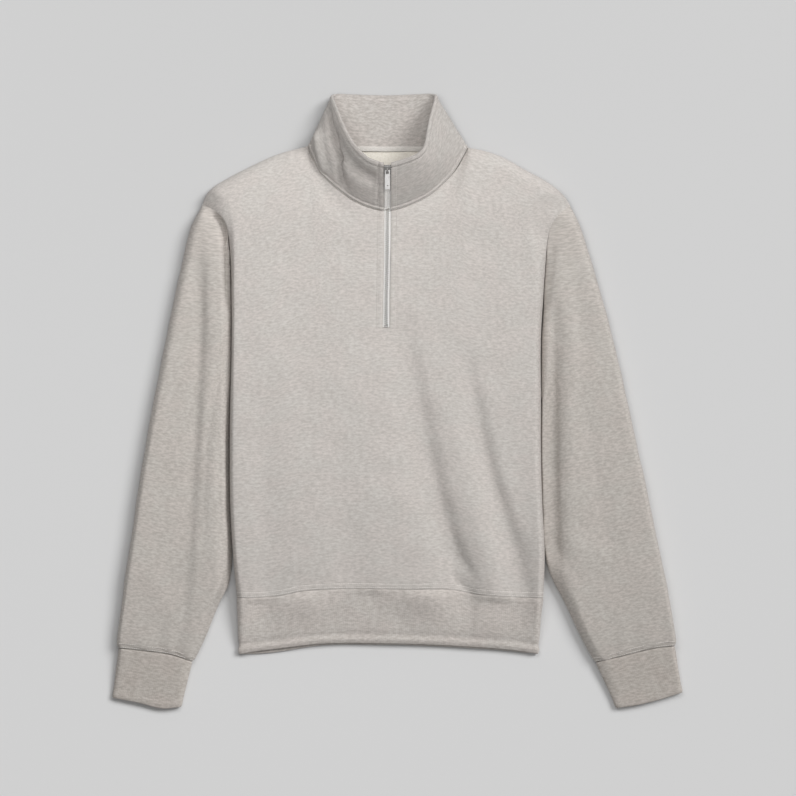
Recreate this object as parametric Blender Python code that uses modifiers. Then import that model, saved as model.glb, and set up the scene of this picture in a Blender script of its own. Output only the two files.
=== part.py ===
"""Quarter zip sweatshirt, laid flat and lightly lofted on a surface.

Every piece is a wall of cloth: its outer face is worked out from named sizes and
short tables, and its inner face lies one cloth thickness inside. Sizes here are in
millimetres and become metres when a mesh is made. +X is the photo's right, +Y runs
towards the collar, +Z is up, and the origin is under the middle of the garment.
"""

import math

import bmesh
import bpy
import numpy as np
from mathutils import Matrix, Vector

MM = 0.001
COLLECTION = "quarter_zip_sweatshirt"

# Cloth
CLOTH = 2.2            # brushed fleece, one layer
DOUBLED = 3.4          # rib and collar, two layers pressed together
SEAM = 0.3             # gap between two pieces where they are sewn together
FOLD_ROUND = 1.2       # how far a folded edge rounds out past its last row

# Body
HEM_Y = -261.0         # seam with the waistband, at the sides
UNDERARM_Y = 4.0
SHOULDER_Y = 265.0     # where sleeve, front and back meet on the outline
TOP_ROLL = 16.0        # how far the panels take to round over at the shoulder seams
NECK_RISE = 40.0       # below the neck seam it rises gently over this length
NECK_FLAT, NECK_TURN = 78.0, 34.0   # where, out from the middle, one becomes the other
SHOULDER_SLANT = 0.87  # cosine of the shoulder's slope
DOME = 0.10            # share of its height that the front loses towards the sides

# Zip
SLIT = 10.0            # width of the opening that shows the zip
ZIP_BOTTOM_Y = 100.0
TAPE_OUTER = 8.5       # half width of the whole zip
TAPE_GAP = 0.5         # from the cloth's inner face
TAPE_END = 6.0         # left free under the collar's top edge
TAPE_INNER = 2.9
TAPE_THICK = 0.8
CHAIN_HALF = 2.6
CHAIN_THICK = 2.2
CHAIN_SUNK = 1.0       # top of the teeth, below the cloth's outer face
STOP_SUNK = 0.6
STOP_LENGTH = 3.4
COLLAR_TAPE_DROP = DOUBLED - CLOTH + 0.5

# Grid steps
ROWS_BELOW = 12
ARMHOLE_STEPS = (0, 0.13, 0.26, 0.39, 0.51, 0.61, 0.70, 0.78, 0.85, 0.90, 0.94, 0.97, 1)
FRONT_STEPS = {"roll": 4, "shoulder": 5, "neck": 8}
BACK_STEPS = {"roll": 3, "shoulder": 2, "neck": 4}
COLLAR_ROWS = 6
SLEEVE_ROWS = (0, 0.03, 0.07, 0.12, 0.18, 0.25, 0.32, 0.39, 0.46, 0.53,
               0.60, 0.67, 0.74, 0.81, 0.87, 0.92, 0.97, 1)
BAND_ROWS = 4
CUFF_ROWS = 3
ARMHOLE_SAMPLES = 400
SHARP_ANGLE = 50.0     # degrees


def table(columns, rows):
    """A table's columns by name."""
    return dict(zip(columns.split(), np.array(rows, float).T))


# The body's outline and the heights of its edges, from the hem to the shoulder point.
# mouth is the height of the opening between front and back, which a seam closes to 0.4;
# reach is how far in the panels take to round over at the sides.
BODY_SIDE = table("y left right front_z mouth reach", [
    (-261, -216.5, 195.0, 14.2, 0.4, 15),
    (-210, -221.0, 197.5, 14.2, 0.4, 15),
    (-130, -224.5, 194.5, 14.2, 0.4, 15),
    (-63, -224.5, 193.5, 13.2, 0.4, 15),
    (4, -224.5, 195.0, 9.2, 0.4, 15),
    (35, -223.0, 195.6, 9.6, 5.6, 15),
    (84, -220.5, 196.5, 10.0, 8.0, 15),
    (138, -221.0, 197.5, 11.0, 9.4, 17),
    (189, -223.8, 200.3, 14.0, 12.2, 24),
    (218, -225.5, 202.5, 18.0, 15.6, 32),
    (238, -229.5, 208.0, 20.5, 17.2, 36),
    (252, -239.0, 219.0, 19.5, 14.6, 32),
    (260, -250.5, 229.5, 15.5, 8.0, 22),
    (265, -262.5, 236.0, 9.2, 0.4, 15),
])

CROWN = table("y z", [
    (-261, 26.0), (-200, 30.0), (-60, 33.0), (90, 34.0), (200, 34.5), (256, 34.5),
    (300, 29.0), (345, 20.0),
])

CENTRE_LINE = table("y x", [(-261, -13.0), (-80, -15.5), (100, -15.4), (255, -13.4), (345, -13.4)])

HEM_SEAM = table("x y", [
    (-217, -261.0), (-180, -260.0), (-155, -257.5), (-130, -252.0), (-97, -249.5),
    (10, -249.5), (77, -250.5), (105, -256.0), (150, -259.5), (198, -261.0),
])

SHOULDER_LEFT = table("x y", [
    (-262.5, 265.0), (-256.5, 277.5), (-248.0, 287.0), (-231.0, 298.0), (-199.0, 315.0),
    (-160.0, 332.5), (-138.0, 339.0), (-119.9, 343.5),
])
SHOULDER_RIGHT = table("x y", [
    (94.6, 341.5), (115.0, 337.5), (141.0, 328.5), (172.0, 311.0), (200.0, 295.8),
    (222.0, 281.0), (230.5, 273.0), (236.0, 265.0),
])
NECKLINE = table("x y z", [
    (-119.9, 343.5, 9.2), (-117.0, 335.0, 13.5), (-112.2, 325.0, 18.5), (-98.8, 303.0, 25.5),
    (-78.7, 284.0, 30.5), (-57.0, 268.8, 33.5), (-36.9, 260.2, 34.3), (-13.4, 256.0, 34.5),
    (3.4, 259.0, 34.3), (23.5, 266.7, 33.4), (43.6, 277.3, 31.2), (60.3, 291.5, 27.8),
    (77.1, 310.5, 22.0), (87.5, 328.0, 15.5), (94.6, 341.5, 9.2),
])
BACK_NECK = table("x y z", [
    (-119.9, 343.5, 8.8), (-110.0, 340.5, 5.6), (-92.0, 338.2, 1.6), (-60.0, 337.0, 0.2),
    (-13.4, 336.6, 0.0), (35.0, 336.9, 0.2), (67.0, 337.8, 1.6), (85.0, 339.4, 5.6),
    (94.6, 341.5, 8.8),
])
NECK_LEFT, NECK_RIGHT = -119.9, 94.6
NECK_AT_HEM = (-102.0, 80.0)   # where the columns below the neck's ends meet the hem

# The front's largest folds: soft troughs, or ridges where the depth is below zero.
FRONT_FOLDS = {
    "main_trough": table("y x width depth", [
        (-261, 108, 15, 5.0), (-215, 92, 17, 6.0), (-130, 67, 18, 4.6), (-20, 43, 18, 3.0),
        (110, 16, 15, 0.0),
    ]),
    "ridge_beside_it": table("y x width depth", [
        (-261, 136, 17, -3.4), (-200, 118, 19, -3.6), (-100, 93, 19, -2.0), (60, 52, 20, 0.0),
    ]),
    "second_trough": table("y x width depth", [
        (-245, 178, 15, 0.0), (-180, 158, 15, 3.0), (-90, 133, 15, 3.4), (10, 115, 15, 1.6),
        (90, 98, 15, 0.0),
    ]),
    "left_hollow": table("y x width depth", [
        (-261, -58, 24, 1.6), (-140, -64, 24, 1.2), (20, -60, 24, 0.0),
    ]),
    "left_edge_hollow": table("y x width depth", [
        (-261, -172, 18, 1.8), (-90, -178, 17, 1.2), (70, -178, 16, 0.0),
    ]),
}

# Waistband: where its lower edge runs, in front and behind, and its puffs at the seam.
BAND_END = table("x front_y back_y", [
    (-215.5, -335.5, -339.0), (-160, -328.5, -332.5), (-110, -322.5, -324.5), (-17, -321.5, -323.0),
    (90, -325.5, -327.0), (150, -330.0, -331.5), (188.5, -334.5, -336.0),
])
BAND_SIDES = (-215.5, 188.5)
BAND_CROWN = 15.0
BAND_EDGE_Z = 7.5
BAND_ROLL = 9.0
BAND_CORNER = 25.0     # its lower edges meet over this length at each side
PUFF_LENGTH = 0.3      # share of the band's height
BAND_PUFFS = table("x along width height", [
    (-122, 0.22, 24, 3.2), (44, 0.16, 28, 2.8), (-35, 0.10, 20, -2.0), (128, 0.12, 22, -2.4),
    (-182, 0.12, 16, -1.6),
])

# Sleeves: outline points of each section, how the inner edge lies, and its height.
SLEEVE_COLUMNS = "v out_x out_y in_x in_y lip rise crown"
SLEEVES = {
    "left": table(SLEEVE_COLUMNS, [
        (0.00, -262.5, 265.0, -224.5, 4.0, 6.0, 20, 22.0),
        (0.10, -278.0, 234.5, -224.7, -1.0, 6.0, 20, 23.5),
        (0.20, -288.5, 189.0, -224.0, -13.0, 5.6, 20, 23.0),
        (0.32, -300.0, 124.5, -223.6, -29.0, 5.2, 20, 22.0),
        (0.44, -312.5, 54.5, -223.4, -50.0, 5.2, 20, 22.0),
        (0.56, -327.0, -23.0, -223.4, -87.5, 5.2, 20, 22.0),
        (0.68, -341.5, -103.5, -223.2, -143.5, 5.6, 20, 22.0),
        (0.78, -355.0, -177.0, -221.4, -201.0, 7.0, 20, 21.5),
        (0.85, -363.5, -224.0, -226.5, -243.0, 12.0, 18, 21.0),
        (0.90, -369.8, -259.0, -239.5, -270.5, 15.5, 15, 20.0),
        (0.97, -376.6, -320.0, -268.5, -339.0, 15.5, 12, 18.0),
        (1.00, -374.5, -328.5, -274.5, -346.5, 13.5, 12, 15.5),
    ]),
    "right": table(SLEEVE_COLUMNS, [
        (0.00, 236.0, 265.0, 195.0, 4.0, 6.0, 30, 22.0),
        (0.10, 250.5, 236.5, 195.4, -1.0, 6.0, 30, 23.5),
        (0.20, 266.0, 188.5, 194.6, -13.0, 5.6, 32, 23.0),
        (0.32, 284.5, 121.5, 193.6, -29.0, 5.2, 32, 22.0),
        (0.44, 301.0, 54.5, 192.9, -50.0, 5.2, 32, 22.0),
        (0.56, 319.5, -23.0, 192.6, -87.5, 5.2, 30, 22.0),
        (0.68, 336.5, -103.5, 194.0, -143.5, 5.6, 28, 22.0),
        (0.78, 349.5, -173.0, 196.4, -200.0, 7.0, 26, 21.5),
        (0.85, 357.8, -218.5, 207.0, -235.0, 12.0, 20, 21.0),
        (0.90, 363.8, -256.0, 222.4, -264.5, 15.5, 15, 20.0),
        (0.97, 373.4, -318.0, 258.5, -338.5, 15.5, 12, 18.0),
        (1.00, 371.5, -325.5, 265.5, -347.5, 13.5, 12, 15.5),
    ]),
}
SLEEVE_EDGE_Z = 9.0
SLEEVE_OUT_ROLL = 12.0
SLEEVE_LIP_ROLL = 3.0          # its thin inner edge, tucked in beside the body
SLEEVE_FREE_ROLL = 10.0        # the same edge below the body
SLEEVE_LEAST_ROLL = 6.0
SLEEVE_TUCK_Z = 2.8
SLEEVE_FREE_Z = 7.5
SLEEVE_FREE_FROM, SLEEVE_FREE_SPAN = 0.80, 0.08
SLEEVE_HEAD_SPAN = 0.2         # over this much of v its columns leave the armhole's spacing
ARM_RISE = 26.0                # over this length its height leaves the armhole's
OUTLINE_STEP = 0.01
LEAST_SINE = 0.35
ROLL_COLUMNS = 3

# A soft crease down each sleeve: how far across from the outer edge, and between which v.
SLEEVE_CREASES = {
    "left": {"across": 0.66, "start": 0.05, "end": 0.80, "width": 8, "depth": 2.0},
    "right": {"across": 0.45, "start": 0.30, "end": 0.85, "width": 12, "depth": 1.2},
}

# Cuffs: seam and end line, from the outer edge to the inner one.
CUFFS = {
    "left": table("across seam_x seam_y end_x end_y", [
        (0.0, -373.5, -329.5, -381.7, -394.0), (0.3, -345.0, -332.5, -349.0, -400.5),
        (0.7, -303.0, -338.5, -314.0, -408.5), (1.0, -275.5, -347.5, -290.0, -406.5),
    ]),
    "right": table("across seam_x seam_y end_x end_y", [
        (0.0, 371.0, -326.5, 381.7, -390.5), (0.3, 343.0, -330.0, 353.0, -400.5),
        (0.7, 300.0, -340.5, 320.0, -409.0), (1.0, 266.5, -348.5, 295.0, -413.3),
    ]),
}
CUFF_CROWN = 13.5
CUFF_EDGE_Z = 6.4
CUFF_ROLL = 8.0

# Collar: its top edge, from the zip round the left, the back and the right.
COLLAR_TOP = table("around x y z", [
    (0.00, -18.4, 317.0, 71.0), (0.04, -28.0, 319.5, 71.2), (0.08, -41.0, 325.5, 70.0),
    (0.13, -57.0, 341.5, 66.0), (0.18, -69.5, 362.0, 58.0), (0.23, -79.2, 385.0, 45.5),
    (0.27, -86.0, 402.0, 31.0), (0.30, -88.6, 410.3, 19.0), (0.33, -84.4, 412.6, 9.0),
    (0.38, -66.0, 412.2, 4.6), (0.50, -15.4, 410.6, 3.2), (0.62, 30.0, 412.4, 4.6),
    (0.67, 47.6, 413.0, 9.0), (0.70, 52.0, 410.6, 19.0), (0.73, 50.4, 401.5, 31.0),
    (0.77, 46.0, 385.0, 45.0), (0.82, 41.6, 363.0, 57.5), (0.87, 38.2, 343.0, 66.0),
    (0.92, 27.5, 329.5, 70.0), (0.96, 10.5, 322.5, 71.2), (1.00, -8.4, 317.0, 71.0),
])
SIDE_AROUND = 0.29     # share of the ring from the zip to the shoulder seam
NECK_MIDDLE = (-13.4, 338.0)
SEAM_FRONT_NECK = 0.4
COLLAR_BULGE = 3.0
COLLAR_CREASES = table("around0 up0 around1 up1 width depth", [
    (0.245, 0.80, 0.125, 0.08, 9.0, 4.5),
    (0.165, 0.72, 0.085, 0.10, 7.0, 2.2),
])

NECK_TAPE = 6.5        # width of the tape inside the back neck
NECK_TAPE_THICK = 0.9

# Slider and pull tab
SLIDER_LENGTH, SLIDER_WIDTH, SLIDER_DEEP = 13.0, 9.2, 4.4
SLIDER_FROM_TOP = 9.0
SLIDER_PROUD = 0.8     # its top above the cloth
SLIDER_EDGE, BRIDGE_EDGE, PULL_EDGE = 0.8, 0.4, 0.3
BRIDGE_LENGTH, BRIDGE_WIDTH, BRIDGE_HIGH, BRIDGE_SUNK = 6.0, 2.2, 3.2, 1.0
TUNNEL_LENGTH, TUNNEL_HIGH = 4.0, 2.2
PULL_LENGTH, PULL_WIDTH, PULL_THICK = 28.0, 6.6, 1.2
PULL_BAR = 0.6
EYE_WIDTH, EYE_LENGTH = 3.8, 4.2
PULL_HOLE_RADIUS, PULL_HOLE_FROM_AXIS = 1.2, 22.5

COLOURS = {
    "fleece": ((0.56, 0.54, 0.51), 0.95, 0.0),
    "rib": ((0.54, 0.52, 0.49), 0.95, 0.0),
    "tape": ((0.62, 0.60, 0.58), 0.90, 0.0),
    "zip_tape": ((0.60, 0.59, 0.57), 0.85, 0.0),
    "metal": ((0.70, 0.70, 0.70), 0.30, 1.0),
}


# Shapes and curves

def through(keys, values, at):
    """A smooth curve through a table's values, flat beyond its ends."""
    at = np.clip(np.asarray(at, float), keys[0], keys[-1])
    slopes = np.gradient(values, keys)
    i = np.clip(np.searchsorted(keys, at, side="right") - 1, 0, len(keys) - 2)
    step = keys[i + 1] - keys[i]
    t = (at - keys[i]) / step
    rise = t * t * (3 - 2 * t)
    return (
        values[i] * (1 - rise) + values[i + 1] * rise
        + step * t * (1 - t) ** 2 * slopes[i]
        - step * t * t * (1 - t) * slopes[i + 1]
    )


def roll(share):
    """A quarter round: 0 at the edge, 1 one radius in."""
    share = np.clip(share, 0, 1)
    return np.sqrt(1 - (1 - share) ** 2)


def ease(share):
    """A soft S from 0 to 1."""
    share = np.clip(share, 0, 1)
    return share * share * (3 - 2 * share)


def beside_line(x, y, ax, ay, bx, by):
    """Distance to a straight line's nearest point."""
    dx, dy = bx - ax, by - ay
    along = ((x - ax) * dx + (y - ay) * dy) / (dx * dx + dy * dy)
    held = np.clip(along, 0, 1)
    return np.hypot(x - ax - held * dx, y - ay - held * dy)


def front_folds(x, y):
    """How far the front's folds move its surface up or down."""
    height = np.zeros_like(x)
    for fold in FRONT_FOLDS.values():
        middle, width, depth = (
            through(fold["y"], fold[name], y) for name in ("x", "width", "depth")
        )
        inside = (y >= fold["y"][0]) & (y <= fold["y"][-1])
        height -= np.where(inside, depth, 0) * np.exp(-(((x - middle) / width) ** 2))
    return height


# Body

def body_side(column, y):
    return through(BODY_SIDE["y"], BODY_SIDE[column], y)


def armhole_y():
    """Row heights from the underarm to the shoulder point, at set shares of the armhole."""
    y = np.linspace(UNDERARM_Y, SHOULDER_Y, ARMHOLE_SAMPLES)
    x = body_side("left", y)
    run = np.concatenate([[0], np.cumsum(np.hypot(np.diff(x), np.diff(y)))])
    return np.interp(np.array(ARMHOLE_STEPS) * run[-1], run, y)


def body_row_y():
    """Side heights of all rows; one of them meets the zip's lower end in the middle."""
    below = np.linspace(HEM_Y, UNDERARM_Y, ROWS_BELOW + 1)[:-1]
    rows = np.concatenate([below, armhole_y()])
    centre = through(CENTRE_LINE["y"], CENTRE_LINE["x"], ZIP_BOTTOM_Y)
    hem = through(HEM_SEAM["x"], HEM_SEAM["y"], centre)
    neck = through(NECKLINE["x"], NECKLINE["y"], centre)
    share = (ZIP_BOTTOM_Y - hem) / (neck - hem)
    slit_row = HEM_Y + share * (SHOULDER_Y - HEM_Y)
    rows[np.argmin(abs(rows - slit_row))] = slit_row
    return rows


def half_row(edge, centre, neck, steps, reach, share_up):
    """X of one half row's points, from the side seam past the neck's column to the middle."""
    towards = np.sign(centre - edge)
    angles = np.linspace(0, math.pi / 2, steps["roll"] + 1)
    rolled = edge + towards * reach * (1 - np.cos(angles))
    slit = centre - towards * SLIT / 2
    shoulder = np.linspace(rolled[-1], neck, steps["shoulder"] + 1)[1:]
    last = math.acos((SLIT / 2) / abs(centre - NECK_LEFT))
    even = np.linspace(0, 1, steps["neck"] + 1)[1:]
    turned = (1 - np.cos(even * last)) / (1 - math.cos(last))
    neckline = neck + (slit - neck) * (even + (turned - even) * share_up)
    return np.concatenate([rolled, shoulder, neckline])


def top_edge(x, across_neck):
    """Y and Z of the body's top edge: shoulder seams and, between them, a neckline."""
    shoulder = np.where(
        x < 0,
        through(SHOULDER_LEFT["x"], SHOULDER_LEFT["y"], x),
        through(SHOULDER_RIGHT["x"], SHOULDER_RIGHT["y"], x),
    )
    inside = (x > NECK_LEFT) & (x < NECK_RIGHT)
    y = np.where(inside, through(across_neck["x"], across_neck["y"], x), shoulder)
    z = np.where(inside, through(across_neck["x"], across_neck["z"], x), across_neck["z"][0])
    return y, z


def body_grid(across_neck, steps):
    """Plan of a body panel: X and Y of its points, and each row's height on the side."""
    rows = body_row_y()
    share_up = (rows - HEM_Y) / (SHOULDER_Y - HEM_Y)
    grid_x = []
    for y, share in zip(rows, share_up):
        centre = float(through(CENTRE_LINE["y"], CENTRE_LINE["x"], y))
        halves = []
        for side, neck, below_neck in zip(("left", "right"), (NECK_LEFT, NECK_RIGHT), NECK_AT_HEM):
            column = below_neck + (neck - below_neck) * share
            reach = float(body_side("reach", y))
            halves.append(half_row(float(body_side(side, y)), centre, column, steps, reach, share))
        grid_x.append(np.concatenate([halves[0], [centre], halves[1][::-1]]))
    grid_x = np.array(grid_x)
    top_x = grid_x[-1]
    top_y, _ = top_edge(top_x, across_neck)
    hem_y = through(HEM_SEAM["x"], HEM_SEAM["y"], grid_x[0])
    grid_y = hem_y + (top_y - hem_y) * share_up[:, None]
    return grid_x, grid_y, np.broadcast_to(rows[:, None], grid_x.shape)


def body_height(x, y, row_y, across_neck, upper):
    """Height of the front's upper face or of the back's underside."""
    reach = body_side("reach", row_y)
    from_left = roll((x - body_side("left", row_y)) / reach)
    from_right = roll((body_side("right", row_y) - x) / reach)
    sides = from_left * from_right
    top_y, top_z = top_edge(x, across_neck)
    from_top = (top_y - y) * SHOULDER_SLANT
    at_shoulder = ease((abs(x - (NECK_LEFT + NECK_RIGHT) / 2) - NECK_FLAT) / NECK_TURN)
    top = ease(from_top / NECK_RISE)
    top = top + (roll(from_top / TOP_ROLL) - top) * at_shoulder
    side_z = body_side("front_z", row_y)
    if not upper:
        side_z = side_z - np.interp(row_y, BODY_SIDE["y"], BODY_SIDE["mouth"])
    edge = (side_z * (1 - sides) + top_z * (1 - top) + 1e-6 * side_z) / (2 - sides - top + 1e-6)
    middle = np.zeros_like(x)
    if upper:
        half = (body_side("right", row_y) - body_side("left", row_y)) / 2
        centre = through(CENTRE_LINE["y"], CENTRE_LINE["x"], y)
        middle = through(CROWN["y"], CROWN["z"], y) * (1 - DOME * ((x - centre) / half) ** 2)
        middle = middle + front_folds(x, y)
    return edge * (1 - sides * top) + middle * sides * top


def grid_normals(points, closed):
    """Unit normals of a grid of points, rows first; closed wraps the columns."""
    if closed:
        across = np.roll(points, -1, axis=1) - np.roll(points, 1, axis=1)
    else:
        across = np.gradient(points, axis=1)
    along = np.gradient(points, axis=0)
    normal = np.cross(across, along)
    return normal / np.linalg.norm(normal, axis=2, keepdims=True)


def levelled(normal):
    """The same normals, turned level."""
    flat = normal * (1, 1, 0)
    return flat / np.linalg.norm(flat, axis=-1, keepdims=True)


def plumb(normal):
    """The same normals, turned square to the garment's length."""
    square = normal * (1, 0, 1)
    return square / np.linalg.norm(square, axis=-1, keepdims=True)


def body_panel(across_neck, steps, upper):
    """Outer and inner faces of the front or the back."""
    x, y, row_y = body_grid(across_neck, steps)
    outer = np.stack([x, y, body_height(x, y, row_y, across_neck, upper)], axis=2)
    normal = grid_normals(outer, closed=False)
    if not upper:
        normal = -normal
    shoulder_end = steps["roll"] + steps["shoulder"]
    normal[0] = plumb(normal[0])
    normal[:, 0] = levelled(normal[:, 0])
    normal[:, -1] = levelled(normal[:, -1])
    normal[-1, : shoulder_end + 1] = levelled(normal[-1, : shoulder_end + 1])
    normal[-1, -shoulder_end - 1:] = levelled(normal[-1, -shoulder_end - 1:])
    inner = outer - CLOTH * normal
    inner[:, :, 2] = np.maximum(inner[:, :, 2], outer[:, :, 2].min())
    return outer, inner


# Sleeves and cuffs

def sleeve_at(side, column, v):
    return through(SLEEVES[side]["v"], SLEEVES[side][column], v)


def armhole_edge(side, panel):
    """The panel's armhole points from the shoulder point down, moved out by the seam."""
    column, turn = (0, 1) if side == "left" else (-1, -1)
    edge = panel[ROWS_BELOW:, column][::-1].copy()
    tangent = np.gradient(edge[:, :2], axis=0)
    outward = turn * np.stack([tangent[:, 1], -tangent[:, 0]], axis=1)
    outward /= np.linalg.norm(outward, axis=1, keepdims=True)
    edge[:, :2] += SEAM * outward
    return edge


def sleeve_columns(length, out_sine, in_sine, out_roll, in_roll):
    """Shares across a section, from its outer edge, close together where it rounds over."""
    angles = np.linspace(0, math.pi / 2, ROLL_COLUMNS + 1)
    out_share = out_roll * (1 - np.cos(angles)) / (length * out_sine)
    in_share = in_roll * (1 - np.cos(angles)) / (length * in_sine)
    between = len(ARMHOLE_STEPS) - 2 * ROLL_COLUMNS
    middle = np.linspace(out_share[-1], 1 - in_share[-1], between)[1:-1]
    return np.concatenate([out_share, middle, 1 - in_share[::-1]])


def sine_between(a, b):
    """Sine of the angle between a section and an edge, kept off zero."""
    cross = a[0] * b[1] - a[1] * b[0]
    return max(LEAST_SINE, abs(cross) / (np.hypot(*a) * np.hypot(*b)))


def cuff_line(side, column, share):
    cuff = CUFFS[side]
    return np.stack([
        through(cuff["across"], cuff[column + "_x"], share),
        through(cuff["across"], cuff[column + "_y"], share),
    ], axis=-1)


def outline_way(side, edge, v):
    """The point of a sleeve's outline at v, and the way the outline runs there."""
    ends = [max(0, v - OUTLINE_STEP), v, min(1, v + OUTLINE_STEP)]
    before, here, after = (
        np.array([float(sleeve_at(side, edge + axis, at)) for axis in ("_x", "_y")]) for at in ends
    )
    return here, after - before


def sleeve_plan(side, arm, v, shares, out_at, in_at):
    """Plan of a section: the outline's chord, bowed like the armhole above, the cuff below."""
    across = shares[:, None]
    run = np.concatenate([[0], np.cumsum(np.hypot(*np.diff(arm[:, :2], axis=0).T))])
    on_arm = np.stack([np.interp(shares, run / run[-1], arm[:, k]) for k in range(3)], axis=1)
    arm_bow = on_arm[:, :2] - (arm[0, :2] * (1 - across) + arm[-1, :2] * across)
    cuff_ends = cuff_line(side, "seam", np.array([0, 1]))
    cuff_bow = cuff_line(side, "seam", shares) - (cuff_ends[0] * (1 - across) + cuff_ends[1] * across)
    return out_at * (1 - across) + in_at * across + (1 - v) * arm_bow + v * cuff_bow, on_arm


def sleeve_half(side, arm, v, upper):
    """One section's upper or lower points, from the outer edge to the inner edge."""
    if v == 0:
        return arm
    out_at, out_way = outline_way(side, "out", v)
    in_at, in_way = outline_way(side, "in", v)
    chord = in_at - out_at
    length = np.hypot(*chord)
    out_sine, in_sine = sine_between(chord, out_way), sine_between(chord, in_way)
    free = ease((v - SLEEVE_FREE_FROM) / SLEEVE_FREE_SPAN)
    lip_roll = SLEEVE_LIP_ROLL + (SLEEVE_FREE_ROLL - SLEEVE_LIP_ROLL) * free
    shares = sleeve_columns(length, out_sine, in_sine, SLEEVE_OUT_ROLL, max(lip_roll, SLEEVE_LEAST_ROLL))
    run = np.concatenate([[0], np.cumsum(np.hypot(*np.diff(arm[:, :2], axis=0).T))])
    settled = ease(v / SLEEVE_HEAD_SPAN)
    shares = run / run[-1] * (1 - settled) + shares * settled
    plan, on_arm = sleeve_plan(side, arm, v, shares, out_at, in_at)

    inner_z = SLEEVE_TUCK_Z + (SLEEVE_FREE_Z - SLEEVE_TUCK_Z) * free
    from_in = (1 - shares) * length * in_sine
    outer_round = roll(shares * length * out_sine / SLEEVE_OUT_ROLL)
    inner_round = roll(from_in / lip_roll)
    if upper:
        lip, crown = float(sleeve_at(side, "lip", v)), float(sleeve_at(side, "crown", v))
        rise = ease(from_in / float(sleeve_at(side, "rise", v)))
        inner = inner_z + (lip - inner_z) * inner_round + (crown - lip) * rise
        z = SLEEVE_EDGE_Z * (1 - outer_round) + inner * outer_round
        z = z - sleeve_crease(side, v, shares, length * out_sine)
    else:
        z = SLEEVE_EDGE_Z * (1 - outer_round) + inner_z * (1 - inner_round)
    far = np.hypot(*(plan - on_arm[:, :2]).T)
    z = on_arm[:, 2] + (z - on_arm[:, 2]) * roll(far / ARM_RISE)
    return np.column_stack([plan, z])


def sleeve_crease(side, v, shares, width):
    """Depth of the soft crease down a sleeve."""
    crease = SLEEVE_CREASES[side]
    across = (shares - crease["across"]) * width / crease["width"]
    along = (v - crease["start"]) / (crease["end"] - crease["start"])
    fade = math.sin(math.pi * min(max(along, 0), 1)) ** 0.7
    return crease["depth"] * fade * np.exp(-across ** 2)


def joined_loop(upper, lower):
    """A closed section: the upper points out to in, then the lower ones back."""
    ends = upper.copy()
    ends[0, 2] = (upper[0, 2] + lower[0, 2]) / 2
    ends[-1, 2] = (upper[-1, 2] + lower[-1, 2]) / 2
    return np.concatenate([ends, lower[-2:0:-1]])


def sleeve_grid(side, front, back):
    upper_arm = armhole_edge(side, front)
    lower_arm = armhole_edge(side, back)
    return np.array([
        joined_loop(sleeve_half(side, upper_arm, v, True), sleeve_half(side, lower_arm, v, False))
        for v in SLEEVE_ROWS
    ])


def cuff_grid(side, sleeve):
    """The cuff's outer face, on from the sleeve's last section."""
    last = sleeve[-1]
    count = len(ARMHOLE_STEPS)
    chord = last[count - 1, :2] - last[0, :2]
    share = np.clip(((last[:, :2] - last[0, :2]) @ chord) / (chord @ chord), 0, 1)
    end = cuff_line(side, "end", share)
    width = np.hypot(*(cuff_line(side, "end", 1) - cuff_line(side, "end", 0)))
    rounded = roll(share * width / CUFF_ROLL) * roll((1 - share) * width / CUFF_ROLL)
    upper = np.arange(len(last)) < count
    end_z = np.where(
        upper,
        CUFF_EDGE_Z + (CUFF_CROWN - CUFF_EDGE_Z) * rounded,
        CUFF_EDGE_Z * (1 - rounded),
    )
    way = end - last[:, :2]
    way /= np.linalg.norm(way, axis=1, keepdims=True)
    start = last[:, :2] + SEAM * way
    rows = []
    for t in np.linspace(0, 1, CUFF_ROWS + 1):
        plan = start + (end - start) * t
        rows.append(np.column_stack([plan, last[:, 2] * (1 - t) + end_z * t]))
    return np.array(rows)


# Waistband

def band_grid(front, back):
    """The waistband's outer face, on from the hem of the front and the back."""
    over = front[0]
    under = back[0][-2:0:-1]
    seam = np.concatenate([over, under])
    upper = np.arange(len(seam)) < len(over)
    left, right = over[0, 0], over[-1, 0]
    share = (seam[:, 0] - left) / (right - left)
    end_x = BAND_SIDES[0] + share * (BAND_SIDES[1] - BAND_SIDES[0])
    front_y = through(BAND_END["x"], BAND_END["front_y"], end_x)
    back_y = through(BAND_END["x"], BAND_END["back_y"], end_x)
    near_side = np.minimum(end_x - BAND_SIDES[0], BAND_SIDES[1] - end_x)
    meeting = (back_y - front_y) * (1 - ease(near_side / BAND_CORNER)) / 2
    end_y = np.where(upper, front_y + meeting, back_y - meeting)
    rounded = roll(near_side / BAND_ROLL)
    end_z = np.where(
        upper,
        BAND_EDGE_Z + (BAND_CROWN - BAND_EDGE_Z) * rounded,
        BAND_EDGE_Z * (1 - rounded),
    )
    seam_z = seam[:, 2].copy()
    seam_z[[0, len(over) - 1]] = (over[0, 2] + back[0][0, 2]) / 2
    rows = []
    for t in np.linspace(0, 1, BAND_ROWS + 1):
        x = seam[:, 0] + (end_x - seam[:, 0]) * t
        y = seam[:, 1] - SEAM + (end_y - seam[:, 1] + SEAM) * t
        z = seam_z + (end_z - seam_z) * t
        rows.append(np.column_stack([x, y, z + np.where(upper, band_puffs(x, t), 0)]))
    return np.array(rows)


def band_puffs(x, t):
    """Height of the waistband's puffs and tucks, nothing at the seam itself."""
    height = np.zeros_like(x)
    for middle, along, width, high in zip(*BAND_PUFFS.values()):
        away = ((x - middle) / width) ** 2 + ((t - along) / PUFF_LENGTH) ** 2
        height += high * np.exp(-away)
    return height * min(t * 8, 1)


# Collar

def neck_columns(steps):
    """First neck column, and the middle column, of a body panel."""
    first = steps["roll"] + steps["shoulder"]
    return first, first + steps["neck"] + 1


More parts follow.
